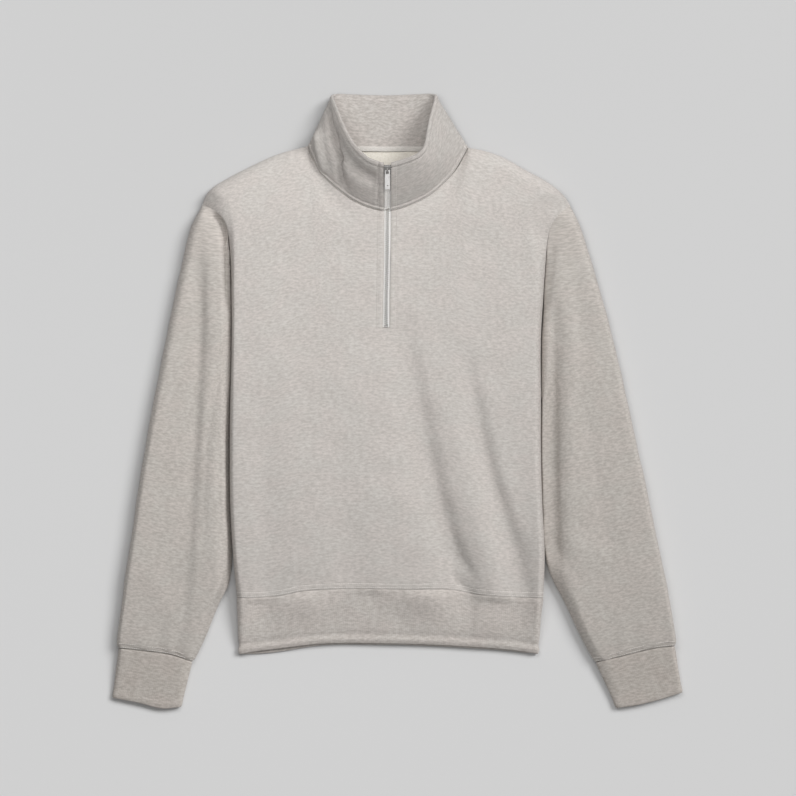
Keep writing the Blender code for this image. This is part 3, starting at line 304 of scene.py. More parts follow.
# Sewing and small parts
FOLD_STEPS = 6
STITCH_PITCH, STITCH_LENGTH, STITCH_RADIUS = 3.0, 2.7, 0.36
STITCH_ROWS = (2.2, 7.2)   # both rows beside a seam
STITCH_RINGS = (       # how far along the stitch, its size, how far it stands up
    (-1.0, 0.5, -0.9), (-0.75, 0.95, 0.2), (0.0, 1.0, 0.45), (0.75, 0.95, 0.2), (1.0, 0.5, -0.9),
)
THREAD_SIDES = 5
NECK_BAND = 4.8        # raised band along the neck seam
RIM_STITCH = 6.0       # stitching below the collar's rim
PLACKET_STITCH = 12.3  # stitching beside the zip, from its middle
RIM_ZIP_STITCH = PLACKET_STITCH - SLIT / 2   # the same from the collar's edge
PLACKET_END_Y = 94.5
TAPE_THICK, TAPE_CORD = 0.6, 1.9
DROP_REACH = 5         # points over which the zip's line steps down to the collar's tape
TOOTH_PITCH = 2.6
CHAIN_HALF, CHAIN_THICK, CHAIN_SUNK = 2.6, 2.2, 0.2
TOOTH_BLOCKS = (       # from the middle, size, and share of its width at the far end
    (1.75, (2.1, 1.5, CHAIN_THICK), 0.9), (0.35, (1.3, 0.95, CHAIN_THICK * 0.8), 0.75),
)
BLOCK_RINGS = ((-1, 0.12), (-0.6, 0), (0.55, 0), (1, 0.2))   # height, and how far it is drawn in
BLOCK_CORNERS = ((-1, -0.6), (-0.7, -1), (0.7, -1), (1, -0.6), (1, 0.6), (0.7, 1), (-0.7, 1), (-1, 0.6))
STOP_SUNK, STOP_LENGTH = 0.6, 3.4
SLIDER_FROM_TOP, SLIDER_LENGTH = 9.0, 13.0

SHARP_CREASES = table("x0 y0 x1 y1 width depth", [
    (76, -178, 88, -208, 3.2, 1), (88, -208, 96, -222, 3, 1.7), (96, -222, 106, -240, 3.2, 1.3),
    (73, -228, 84, -242, 3, 1.3), (84, -242, 93, -252, 3, 1.1),
    (84, -222, 96, -242, 6.5, -1.6),
    (-80, -254, -30, -251, 3, 0.5), (-170, -256, -150, -230, 7, 0.8),
])

SLEEVE_FOLDS = {
    "left": table("x0 y0 x1 y1 width depth", [
        (-268, 180, -262, 60, 12, 1.6), (-262, 40, -272, -120, 14, 1.4),
        (-240, -150, -300, -190, 16, 1.2), (-330, -230, -300, -290, 12, -0.9),
    ]),
    "right": table("x0 y0 x1 y1 width depth", [
        (232, 200, 246, 90, 12, 1.4), (214, 60, 210, -90, 12, 1.2),
        (220, -150, 290, -190, 16, 1.2), (330, -230, 300, -290, 12, -0.9),
    ]),
}

# Rolls and hollows along a sleeve's inner edge, and how far they are from it.
SLEEVE_ROLLS = {
    "left": table("start end distance width height", [(200, -215, 22, 9, 0.8)]),
    "right": table("start end distance width height", [(150, -230, 15, 11, -7), (150, -230, 40, 11, 1.4)]),
}
# How the sleeve dips beside the armhole seam: from and to which height, how far from it.
SEAM_HOLLOWS = {"left": (259, 110, 4.5, 5.0, 7.0), "right": (252, 110, 7.0, 7.0, 2.5)}
SEAM_HOLLOW_FADE = 14.0
# The long crease down a sleeve is a step: the cloth is higher on the side of the body.
STEP_WIDTH = 12.0
SLEEVE_WAY = {"left": (-0.17, -0.985), "right": (0.19, -0.982)}   # which way the knit runs
SLEEVE_STEP = {
    "left": table("y x rise", [
        (-330, -285, 0), (-240, -276, 3.2), (-157, -271, 4.2), (-23, -264, 4.6), (60, -260, 4.6),
        (111, -258, 4.4), (199, -259, 3.2), (245, -262, 0),
    ]),
    "right": table("y x rise", [(-330, 300, 0), (-100, 262, 0.8), (100, 240, 0.8), (230, 236, 0)]),
}

# Photo and room
PHOTO_WIDTH = 1.0667           # metres of floor across the photo
PHOTO_MIDDLE = (0.0007, 0.0064)   # the floor's point in its middle
CAMERA_HEIGHT = 8.0
SENSOR = 36            # the camera's, in millimetres
FLOOR_HALF, FLOOR_Z = 6.0, -0.0001
FLOOR_TONE = 0.627
ROOM_STRENGTH = 0.29
SUN_STRENGTH, SUN_ANGLE, SUN_AZIMUTH, SUN_HEIGHT = 2.0, 26, 55, 40   # degrees, from +Y to +X
PANEL_PLACE, PANEL_SIZE, PANEL_LIGHT = (-0.15, 0.55, 1.05), 0.9, 0.46   # soft lamp, and its light below


# Shapes and curves

def read(rows, column, at):
    """A smooth curve through a table's column, over its first one and flat beyond its ends."""
    keys, values = next(iter(rows.values())), rows[column]
    at = np.clip(np.asarray(at, float), keys[0], keys[-1])
    slopes = np.gradient(values, keys)
    i = np.clip(np.searchsorted(keys, at, side="right") - 1, 0, len(keys) - 2)
    step = keys[i + 1] - keys[i]
    t = (at - keys[i]) / step
    rise = ease(t)
    return (
        values[i] * (1 - rise) + values[i + 1] * rise
        + step * t * (1 - t) ** 2 * slopes[i]
        - step * t * t * (1 - t) * slopes[i + 1]
    )


def ease(share):
    """A soft S from 0 to 1."""
    share = np.clip(share, 0, 1)
    return share * share * (3 - 2 * share)


def roll(share):
    """A quarter round: 0 at the edge, 1 one radius in."""
    return np.sqrt(1 - (1 - np.clip(share, 0, 1)) ** 2)


def softened(share, soft):
    """A quarter round that turns into a gentler swell where soft is 1."""
    return roll(share) * (1 - soft) + np.sin(np.clip(share, 0, 1) * math.pi / 2) * soft


def softness(side, y):
    """How soft an armhole seam is at a height, 1 at the shoulder point."""
    return ease((y - SOFT_FROM[side]) / SOFT_SPAN[side])


def bell(distance, middle, width):
    return np.exp(-(((distance - middle) / width) ** 2))


def unit(ways):
    """Directions, each made one long."""
    return ways / np.linalg.norm(ways, axis=-1, keepdims=True)


def run_of(line):
    """Length along a line of points, from its first one."""
    return np.concatenate([[0], np.cumsum(np.linalg.norm(np.diff(line, axis=0), axis=1))])


def on_line(at, run, line):
    """Points at given lengths along a line."""
    return np.stack([np.interp(at, run, part) for part in line.T], axis=-1)


def beside_line(x, y, ax, ay, bx, by):
    """Distance to a straight line's nearest point."""
    dx, dy = bx - ax, by - ay
    along = np.clip(((x - ax) * dx + (y - ay) * dy) / (dx * dx + dy * dy), 0, 1)
    return np.hypot(x - ax - along * dx, y - ay - along * dy)


def creases(rows, x, y):
    """Height of a table's straight creases: troughs, or ridges where the depth is below zero."""
    height = np.zeros_like(x)
    for x0, y0, x1, y1, width, depth in zip(*rows.values()):
        height -= depth * bell(beside_line(x, y, x0, y0, x1, y1), 0, width)
    return height


def grid_normals(points, closed, turn=1):
    """Unit normals of a grid of points, rows first; closed wraps the columns."""
    if closed:
        across = np.roll(points, -1, axis=1) - np.roll(points, 1, axis=1)
    else:
        across = np.gradient(points, axis=1)
    return turn * unit(np.cross(across, np.gradient(points, axis=0)))


def levelled(normal):
    """The same normals, turned level."""
    return unit(normal * (1, 1, 0))


def plumb(normal):
    """The same normals, turned square to the garment's length."""
    return unit(normal * (1, 0, 1))


def lifted(grid, normal, relief):
    """A grid moved out along its normals, but never below the floor."""
    moved = grid + normal * np.asarray(relief)[..., None]
    moved[:, :, 2] = np.maximum(moved[:, :, 2], 0)
    return moved


def wrapped(grid):
    """A closed grid with its first column once more at the end."""
    return np.concatenate([grid, grid[:, :1]], axis=1)


def run_across(grid):
    """Length along each row of a grid."""
    steps = np.linalg.norm(np.diff(grid, axis=1), axis=2)
    return np.concatenate([np.zeros((len(grid), 1)), np.cumsum(steps, axis=1)], axis=1)


def run_along(grid):
    """Length along each column of a grid, from the first row."""
    return run_across(grid.transpose(1, 0, 2)).T


def measures(grid, closed):
    """Lengths across and along a grid, and back from its last row."""
    across = run_across(wrapped(grid))[:, :-1] if closed else run_across(grid)
    along = run_along(grid)
    return across, along, along[-1:] - along


# Body

def body_side(column, y):
    return read(BODY_SIDE, column, y)


def centre_x(y):
    return read(CENTRE_LINE, "x", y)


def front_folds(x, y):
    """How far the front's folds move its surface; the steep ones fall off quickly on their right."""
    height = np.zeros_like(x)
    for name, fold in FRONT_FOLDS.items():
        middle, width, depth = (read(fold, part, y) for part in ("x", "width", "depth"))
        inside = (y >= fold["y"][0]) & (y <= fold["y"][-1])
        if name in STEEP_FOLDS:
            middle = middle - STEEP_SHIFT * width
            width = width * np.where(x > middle, STEEP_SIDE, GENTLE_SIDE)
        height -= np.where(inside, depth, 0) * bell(x, middle, width)
    return height


def armhole_y():
    """Row heights from the underarm to the shoulder point, at set shares of the armhole."""
    y = np.linspace(UNDERARM_Y, SHOULDER_Y, ARMHOLE_SAMPLES)
    run = run_of(np.column_stack([body_side("left", y), y]))
    return np.interp(ARMHOLE_STEPS * run[-1], run, y)


def body_row_y():
    """Side heights of all rows; one of them meets the zip's lower end in the middle."""
    rows = np.concatenate([HEM_Y + HEM_ROWS, armhole_y()])
    centre = centre_x(ZIP_BOTTOM_Y)
    hem, neck = read(HEM_SEAM, "y", centre), read(NECKLINE, "y", centre)
    slit_row = HEM_Y + (ZIP_BOTTOM_Y - hem) / (neck - hem) * (SHOULDER_Y - HEM_Y)
    rows[np.argmin(abs(rows - slit_row))] = slit_row
    return rows


def half_row(edge, centre, neck, steps, reach, share_up):
    """X of one half row's points, from the side seam past the neck's column to the middle."""
    towards = np.sign(centre - edge)
    angles = np.linspace(0, math.pi / 2, steps["roll"] + 1)
    rolled = edge + towards * reach * (1 - np.cos(angles))
    slit = centre - towards * SLIT / 2
    shoulder = np.linspace(rolled[-1], neck, steps["shoulder"] + 1)[1:]
    last = math.acos((SLIT / 2) / abs(centre - NECK_LEFT))
    even = steps["shares"]
    turned = (1 - np.cos(even * last)) / (1 - math.cos(last))
    neckline = neck + (slit - neck) * (even + (turned - even) * share_up)
    return np.concatenate([rolled, shoulder, neckline])


def top_edge(x, neckline):
    """Y and Z of the body's top edge: shoulder seams and, between them, a neckline."""
    shoulder = np.where(x < 0, read(SHOULDER_LEFT, "y", x), read(SHOULDER_RIGHT, "y", x))
    inside = (x > NECK_LEFT) & (x < NECK_RIGHT)
    y = np.where(inside, read(neckline, "y", x), shoulder)
    return y, np.where(inside, read(neckline, "z", x), neckline["z"][0])


def body_grid(neckline, steps):
    """Plan of a body panel: X and Y of its points, and each row's height on the side."""
    rows = body_row_y()
    share_up = (rows - HEM_Y) / (SHOULDER_Y - HEM_Y)
    grid_x = []
    for y, share in zip(rows, share_up):
        centre = float(centre_x(y))
        halves = []
        for side, neck, below_neck in zip(SIDES, (NECK_LEFT, NECK_RIGHT), NECK_AT_HEM):
            column = below_neck + (neck - below_neck) * share
            reach = float(body_side(side + "_reach", y))
            halves.append(half_row(float(body_side(side, y)), centre, column, steps, reach, share))
        grid_x.append(np.concatenate([halves[0], [centre], halves[1][::-1]]))
    grid_x = np.array(grid_x)
    top_y, _ = top_edge(grid_x[-1], neckline)
    hem_y = read(HEM_SEAM, "y", grid_x[0])
    grid_y = hem_y + (top_y - hem_y) * share_up[:, None]
    return grid_x, grid_y, np.broadcast_to(rows[:, None], grid_x.shape)


def body_height(x, y, row_y, neckline, upper):
    """Height of the front's upper face or of the back's underside."""
    left, right = body_side("left", row_y), body_side("right", row_y)
    sides = (
        softened((x - left) / body_side("left_reach", row_y), softness("left", row_y))
        * softened((right - x) / body_side("right_reach", row_y), softness("right", row_y))
    )
    top_y, top_z = top_edge(x, neckline)
    from_top = (top_y - y) * SHOULDER_SLANT
    at_shoulder = ease((abs(x - (NECK_LEFT + NECK_RIGHT) / 2) - NECK_FLAT) / NECK_TURN)
    top = ease(from_top / NECK_RISE)
    top = top + (roll(from_top / TOP_ROLL) - top) * at_shoulder
    side_z = body_side("front_z", row_y)
    if not upper:
        side_z = side_z - np.interp(row_y, BODY_SIDE["y"], BODY_SIDE["mouth"])
    edge = (side_z * (1 - sides) + top_z * (1 - top) + TINY * side_z) / (2 - sides - top + TINY)
    middle = 0
    if upper:
        dome = 1 - DOME * ((x - centre_x(y)) / ((right - left) / 2)) ** 2
        middle = read(CROWN, "z", y) * dome + front_folds(x, y)
    return edge * (1 - sides * top) + middle * sides * top


def body_panel(neckline, steps, upper):
    """Outer and inner faces of the front or the back."""
    x, y, row_y = body_grid(neckline, steps)
    outer = np.stack([x, y, body_height(x, y, row_y, neckline, upper)], axis=2)
    normal = grid_normals(outer, False, 1 if upper else -1)
    normal[0] = plumb(normal[0])
    normal[:, [0, -1]] = levelled(normal[:, [0, -1]])
    shoulder_end = steps["roll"] + steps["shoulder"] + 1
    for shoulder in (slice(None, shoulder_end), slice(-shoulder_end, None)):
        normal[-1, shoulder] = levelled(normal[-1, shoulder])
    inner = outer - CLOTH * normal
    inner[:, :, 2] = np.maximum(inner[:, :, 2], outer[:, :, 2].min())
    return outer, inner


# Sleeves and cuffs

def armhole_edge(side, panel):
    """The panel's armhole points from the shoulder point down, moved out by the seam."""
    edge = panel[ROWS_BELOW:, 0 if side == "left" else -1][::-1].copy()
    tangent = np.gradient(edge[:, :2], axis=0)
    edge[:, :2] -= SIDES[side] * ARM_SEAM * unit(np.stack([tangent[:, 1], -tangent[:, 0]], axis=1))
    return edge


def sleeve_columns(length, out_sine, in_sine, out_roll, in_roll):
    """Shares across a section, from its outer edge, close together where it rounds over."""
    rounding = (1 - np.cos(np.linspace(0, math.pi / 2, ROLL_COLUMNS + 1))) / length
    out_share, in_share = rounding * out_roll / out_sine, rounding * in_roll / in_sine
    between = len(ARMHOLE_STEPS) - 2 * ROLL_COLUMNS
    crowded = 1 - (1 - np.linspace(0, 1, between)) ** SLEEVE_CROWDING
    middle = (out_share[-1] + (1 - in_share[-1] - out_share[-1]) * crowded)[1:-1]
    return np.concatenate([out_share, middle, 1 - in_share[::-1]])


def sine_between(a, b):
    """Sine of the angle between a section and an edge, kept off zero."""
    cross = a[0] * b[1] - a[1] * b[0]
    return max(LEAST_SINE, abs(cross) / (np.hypot(*a) * np.hypot(*b)))


def plan_of(rows, name, at):
    """Points in plan of a line that a table gives as name_x and name_y."""
    return np.stack([read(rows, name + axis, at) for axis in ("_x", "_y")], axis=-1)


def outline_way(side, edge, v):
    """The point of a sleeve's outline at v, and the way the outline runs there."""
    at = np.clip([v - OUTLINE_STEP, v, v + OUTLINE_STEP], 0, 1)
    before, here, after = plan_of(SLEEVES[side], edge, at)
    return here, after - before


def sleeve_plan(side, arm, v, shares, out_at, in_at):
    """Plan of a section: the outline's chord, bowed like the armhole above, the cuff below."""
    across = shares[:, None]
    run = run_of(arm[:, :2])
    on_arm = on_line(shares * run[-1], run, arm)
    arm_bow = on_arm[:, :2] - (arm[0, :2] * (1 - across) + arm[-1, :2] * across)
    ends = plan_of(CUFFS[side], "seam", [0, 1])
    cuff_bow = plan_of(CUFFS[side], "seam", shares) - (ends[0] * (1 - across) + ends[1] * across)
    return out_at * (1 - across) + in_at * across + (1 - v) * arm_bow + v * cuff_bow, on_arm


def sleeve_half(side, arm, v, upper):
    """One section's upper or lower points, from the outer edge to the inner edge."""
    if v == 0:
        return arm
    out_at, out_way = outline_way(side, "out", v)
    in_at, in_way = outline_way(side, "in", v)
    chord = in_at - out_at
    length = np.hypot(*chord)
    out_sine, in_sine = sine_between(chord, out_way), sine_between(chord, in_way)
    free = ease((v - SLEEVE_FREE_FROM) / SLEEVE_FREE_SPAN)

    def freed(tucked, loose):
        return tucked + (loose - tucked) * free

    lip_roll = freed(SLEEVE_LIP_ROLL[side], SLEEVE_FREE_ROLL)
    least_roll = max(lip_roll, SLEEVE_LEAST_ROLL)
    shares = sleeve_columns(length, out_sine, in_sine, SLEEVE_OUT_ROLL, least_roll)
    run = run_of(arm[:, :2])
    settled = ease(v / SLEEVE_HEAD_SPAN)
    shares = run / run[-1] * (1 - settled) + shares * settled
    plan, on_arm = sleeve_plan(side, arm, v, shares, out_at, in_at)

    inner_z = freed(SLEEVE_TUCK_Z[side], SLEEVE_FREE_Z)
    from_in = (1 - shares) * length * in_sine
    outer_round = roll(shares * length * out_sine / SLEEVE_OUT_ROLL)
    if upper:
        lip, crown, rise = (float(read(SLEEVES[side], part, v)) for part in ("lip", "crown", "rise"))
        inner_round = softened(from_in / lip_roll, SLEEVE_LIP_SOFT[side] * (1 - free))
        inner = inner_z + (lip - inner_z) * inner_round + (crown - lip) * ease(from_in / rise)
        inner = inner * outer_round - sleeve_crease(side, v, shares, length * out_sine)
    else:
        inner = inner_z * (1 - roll(from_in / freed(SLEEVE_UNDER_ROLL, SLEEVE_FREE_ROLL)))
    z = SLEEVE_EDGE_Z * (1 - outer_round) + inner
    far = np.linalg.norm(plan - on_arm[:, :2], axis=1)
    risen = softened(far / ARM_RISE[side], softness(side, on_arm[:, 1]))
    return np.column_stack([plan, on_arm[:, 2] + (z - on_arm[:, 2]) * risen])


def sleeve_crease(side, v, shares, width):
    """Depth of the soft crease down a sleeve."""
    crease = SLEEVE_CREASES[side]
    along = (v - crease["start"]) / (crease["end"] - crease["start"])
    fade = math.sin(math.pi * min(max(along, 0), 1)) ** 0.7
    return crease["depth"] * fade * bell(shares * width, crease["across"] * width, crease["width"])


def joined_loop(upper, lower):
    """A closed section: the upper points out to in, then the lower ones back."""
    ends = upper.copy()
    ends[[0, -1], 2] = (upper[[0, -1], 2] + lower[[0, -1], 2]) / 2
    return np.concatenate([ends, lower[-2:0:-1]])


def sleeve_grid(side, front, back):
    above, below = armhole_edge(side, front), armhole_edge(side, back)
    return np.array([
        joined_loop(sleeve_half(side, above, v, True), sleeve_half(side, below, v, False))
        for v in SLEEVE_ROWS
    ])


def open_end_z(upper, rounded, edge, crown):
    """Heights round an open end, whose two layers part from its sides' edges."""
    return np.where(upper, edge + (crown - edge) * rounded, edge * (1 - rounded))


def cuff_grid(side, sleeve):
    """The cuff's outer face, on from the sleeve's last section."""
    last = sleeve[-1]
    chord = last[len(ARMHOLE_STEPS) - 1, :2] - last[0, :2]
    share = np.clip(((last[:, :2] - last[0, :2]) @ chord) / (chord @ chord), 0, 1)
    corners = plan_of(CUFFS[side], "end", [0, 1])
    width = np.hypot(*(corners[1] - corners[0]))
    rounded = roll(share * width / CUFF_ROLL) * roll((1 - share) * width / CUFF_ROLL)
    end_z = open_end_z(above_only(sleeve) > 0, rounded, CUFF_EDGE_Z, CUFF_CROWN)
    end = plan_of(CUFFS[side], "end", share)
    start = np.column_stack([last[:, :2] + SEAM * unit(end - last[:, :2]), last[:, 2]])
    return start + (np.column_stack([end, end_z]) - start) * CUFF_SHARES[:, None, None]


def above_only(grid, share_below=0.0):
    """1 on a sleeve's or cuff's upper columns, and a smaller share on those below."""
    return np.where(np.arange(grid.shape[1]) < len(ARMHOLE_STEPS), 1, share_below)


# Waistband

def band_grid(front, back):
    """The waistband's outer face, on from the hem of the front and the back."""
    seam = joined_loop(front[0], back[0])
    upper = np.arange(len(seam)) < front.shape[1]
    left, right = front[0, [0, -1], 0]
    end_x = BAND_SIDES[0] + (seam[:, 0] - left) / (right - left) * (BAND_SIDES[1] - BAND_SIDES[0])
    front_y, back_y = read(BAND_END, "front_y", end_x), read(BAND_END, "back_y", end_x)
    near_side = np.minimum(end_x - BAND_SIDES[0], BAND_SIDES[1] - end_x)
    meeting = (back_y - front_y) * (1 - ease(near_side / BAND_CORNER)) / 2
    end_y = np.where(upper, front_y + meeting, back_y - meeting)
    end_z = open_end_z(upper, roll(near_side / BAND_ROLL), BAND_EDGE_Z, BAND_CROWN)
    start, end = seam - (0, SEAM, 0), np.column_stack([end_x, end_y, end_z])
    down = BAND_SHARES[:, None]
    grid = start + (end - start) * down[:, :, None]
    grid[:, :, 2] += band_puffs(grid[:, :, 0], down) * upper
    return grid


def band_puffs(x, down):
    """Height of the waistband's puffs and tucks, nothing at the seam itself."""
    height = np.zeros_like(x)
    for middle, along, width, high in zip(*BAND_PUFFS.values()):
        height += high * bell(x, middle, width) * bell(down, along, PUFF_LENGTH)
    return height * np.minimum(down * 8, 1)


# Collar

def neck_columns(steps):
    """First neck column, and the middle column, of a body panel."""
    first = steps["roll"] + steps["shoulder"]
    return first, first + steps["neck"] + 1


ZIP_COLUMN = neck_columns(FRONT_STEPS)[1]


def collar_base(front, back):
    """The neck seam's points, from the zip round the left, the back and the right."""
    first = neck_columns(FRONT_STEPS)[0]
    left = front[-1, first: ZIP_COLUMN][::-1].copy()
    right = front[-1, ZIP_COLUMN + 1: front.shape[1] - first][::-1].copy()
    for half in (left, right):
        half[:, :2] += SEAM_FRONT_NECK * unit(NECK_MIDDLE - half[:, :2])
    left[0, 0], right[-1, 0] = front[-1, ZIP_COLUMN - 1, 0], front[-1, ZIP_COLUMN + 1, 0]
    first = neck_columns(BACK_STEPS)[0]
    behind = back[-1, first + 1: back.shape[1] - first - 1] + (0, SEAM, 0)
    return np.concatenate([left, behind, right])


def collar_around():
    """How far round the ring each column is, from one side of the zip to the other."""
    left = SIDE_AROUND * (1 - np.concatenate([[0], FRONT_SHARES]))[::-1]
    behind = SIDE_AROUND + (0.5 - SIDE_AROUND) * BACK_SPREAD * BACK_SHARES
    return np.concatenate([left, behind, [0.5], 1 - behind[::-1], 1 - left[::-1]])


def collar_grid(front, back):
    """The collar's outer face: rows go up from the neck seam, columns round the ring."""
    base, around = collar_base(front, back), collar_around()
    top = np.column_stack([read(COLLAR_TOP, axis, around) for axis in "xyz"])
    up = COLLAR_SHARES[:, None]
    rows = base + (top - base) * up[:, :, None]
    arch = np.sin(math.pi * up)
    from_zip = np.clip(np.minimum(around, 1 - around) / SIDE_AROUND, 0, 1)
    swell = COLLAR_BULGE * arch ** 1.5 * np.sin(math.pi * from_zip)
    height = np.linalg.norm(rows[-1] - rows[0], axis=1)
    ring = run_of((rows[0] + rows[-1]) / 2)
    for around0, up0, around1, up1, width, depth in zip(*COLLAR_CREASES.values()):
        start, end = np.interp([around0, around1], around, ring)
        away = beside_line(ring[None, :], up * height, start, up0 * height, end, up1 * height)
        swell = swell - depth * bell(away, 0, width) * arch ** 0.5
    return lifted(rows, grid_normals(rows, closed=False), -swell)


# Materials

class Value:
    """A node's output, which adds and multiplies like a number."""

    def __init__(self, nodes, socket):
        self.nodes, self.socket = nodes, socket

    def __add__(self, other):
        return self.nodes.math("ADD", self, other)

    def __sub__(self, other):
        return self.nodes.math("SUBTRACT", self, other)

    def __mul__(self, other):
        return self.nodes.math("MULTIPLY", self, other)


class Nodes:
    """A short way to write a material's nodes."""

    def __init__(self, name):
        self.material = bpy.data.materials.new(name)
        self.material.use_nodes = True
        self.tree = self.material.node_tree
        self.shader = self.tree.nodes["Principled BSDF"]

    def add(self, kind, inputs=(), **settings):
        """A node with its settings and its (input, value) pairs."""
        node = self.tree.nodes.new("ShaderNode" + kind)
        for key, value in settings.items():
            setattr(node, key, value)
        for key, value in inputs:
            self.put(node.inputs[key], value)
        return node

    def put(self, socket, value):
        if isinstance(value, Value):
            self.tree.links.new(value.socket, socket)
        elif socket.type == "RGBA":
            socket.default_value = (*value, 1)
        else:
            socket.default_value = value

    def output(self, key, *node, **settings):
        """One output of a new node."""
        return Value(self, self.add(*node, **settings).outputs[key])

    def math(self, operation, a, b=0.0):
        return self.output(0, "Math", ((0, a), (1, b)), operation=operation)

    def wave(self, value, length, lean=0.0):
        """A sine wave of a given length, its phase moved by lean."""
        phase = value * (math.tau / length)
        return self.math("SINE", phase + lean if lean else phase)

    def parts(self, vector):
        """A vector's three numbers."""
        return [Value(self, part) for part in self.add("SeparateXYZ", ((0, vector),)).outputs]

    def knit_uv(self):
        """Millimetres across and along the cloth."""
        u, v, _ = self.parts(self.output(0, "UVMap", uv_map="knit"))
        return u * 1000.0, v * 1000.0

    def speckle(self, vector, scale=1.0, detail=2.0, roughness=0.5):
        """Noise of about 0.5 in the middle."""
        inputs = (("Vector", vector), ("Scale", scale), ("Detail", detail), ("Roughness", roughness))
        return self.output("Fac", "TexNoise", inputs, noise_dimensions="3D")

    def noise(self, u, v, across, along, detail=2.0, roughness=0.55, shift=0.0):
        """Noise with features of a given size across and along the cloth."""
        u, v = self.math("DIVIDE", u, across), self.math("DIVIDE", v, along)
        joined = self.output(0, "CombineXYZ", ((0, u), (1, v), (2, shift)))
        return self.speckle(joined, detail=detail, roughness=roughness)

    def uneven(self, gain, *place, **noise):
        """Noise round nought, times gain."""
        return (self.noise(*place, **noise) - 0.5) * gain

    def spread(self, value, low, high):
        inputs = (("Value", value), ("From Min", low), ("From Max", high))
        return self.output(0, "MapRange", inputs, clamp=True, interpolation_type="SMOOTHSTEP")

    def mix(self, share, a, b):
        return self.output(2, "Mix", ((0, share), (6, a), (7, b)), data_type="RGBA")

    def finish(self, colour, roughness, height=None, depth=0.0, **plain):
        inputs = {"Base Color": colour, "Roughness": roughness, **plain}
        if height is not None:
            inputs["Normal"] = self.output(0, "Bump", (("Distance", depth * MM), ("Height", height)))
        for name, value in inputs.items():
            self.put(self.shader.inputs[name.replace("_", " ")], value)
        return self.material


def heather(name, light, dark, fleck, contrast, rib=0.0):
    """Heather knit: pale and dark fibres in soft streaks along the courses of small loops."""
    nodes = Nodes(name)
    u, v = nodes.knit_uv()
    streak = nodes.uneven(2.0 * contrast, u, v, 7.5, 2.7, detail=1.0)
    fine = nodes.uneven(1.2 * contrast, u, v, 3.0, 1.3, detail=1.0, shift=7.3)
    broad = nodes.uneven(0.35, u, v, 46.0, 30.0, shift=3.1)
    tint = nodes.spread(nodes.noise(u, v, 38.0, 26.0, detail=1.0, shift=21.7), 0.36, 0.64)
    cool, warm = (tuple(c * k for c, k in zip(light, shade)) for shade in (COOL, WARM))
    share = nodes.spread(streak + fine + broad + 0.5, -0.3, 1.3)
    ground = nodes.mix(share, dark, nodes.mix(tint, cool, warm))
    flecks = nodes.spread(nodes.noise(u, v, 3.4, 1.1, detail=1.0, shift=12.9), 0.66, 0.80)
    colour = nodes.mix(flecks * (0.35 * contrast), ground, fleck)
    column = nodes.wave(u, WALE)
    row = nodes.wave(v, COURSE, nodes.math("ABSOLUTE", column) * 0.9)
    fuzz = nodes.uneven(1.6, u, v, 0.6, 0.5, detail=3.0, shift=5.0)
    lumps = nodes.uneven(1.4, u, v, 6.0, 2.4, shift=9.0)
    height = column * 0.5 + row * 0.5 + fuzz + lumps
    if rib:
        height = height + nodes.wave(u, RIB) * rib
    return nodes.finish(colour, 0.92, height, 0.11, Sheen_Weight=0.12, Sheen_Roughness=0.5,
                        Specular_IOR_Level=0.2)


def brushed(name, light, dark):
    """The soft brushed inside of the fleece."""
    nodes = Nodes(name)
    u, v = nodes.knit_uv()
    nap = nodes.noise(u, v, 3.0, 2.4, detail=4.0, roughness=0.6)
    tufts = nodes.uneven(1.5, u, v, 0.9, 0.8, detail=3.0, shift=4.0)
    colour = nodes.mix(nodes.spread(nap, 0.3, 0.7), dark, light)
    return nodes.finish(colour, 0.95, (nap - 0.5) * 1.5 + tufts, 0.5, Sheen_Weight=0.3,
                        Sheen_Roughness=0.5, Specular_IOR_Level=0.15)


def woven(name, light, dark, pitch):
    """A narrow woven tape."""
    nodes = Nodes(name)
    u, v = nodes.knit_uv()
    height = nodes.wave(u, pitch) * nodes.wave(v + u * 0.5, pitch)
    tone = height * 0.25 + nodes.noise(u, v, 5.0, 1.5, shift=2.0)
    colour = nodes.mix(nodes.spread(tone, 0.2, 0.8), dark, light)
    return nodes.finish(colour, 0.8, height, 0.12, Sheen_Weight=0.1, Specular_IOR_Level=0.3)


def spun(name, light, dark):
    """Sewing thread."""
    nodes = Nodes(name)
    tone = nodes.speckle(nodes.output("Position", "NewGeometry"), 900.0)
    colour = nodes.mix(nodes.spread(tone, 0.3, 0.7), dark, light)
    return nodes.finish(colour, 0.7, tone, 0.05, Specular_IOR_Level=0.35)


def polished(name, colour, worn, roughness, metallic):
    """Nickel-plated zip metal with fine scuffs. Its near-white, barely metallic copies are painted
    reflection, its dark copy painted shade.
    """
    nodes = Nodes(name)
    speckle = nodes.speckle(nodes.output("Object", "TexCoord"), 700.0, 4.0)
    scuffs = nodes.spread(speckle, 0.35, 0.7)
    rough = scuffs * -0.12 + (roughness + 0.1)
    return nodes.finish(nodes.mix(scuffs, worn, colour), rough, speckle, 0.03, Metallic=metallic)


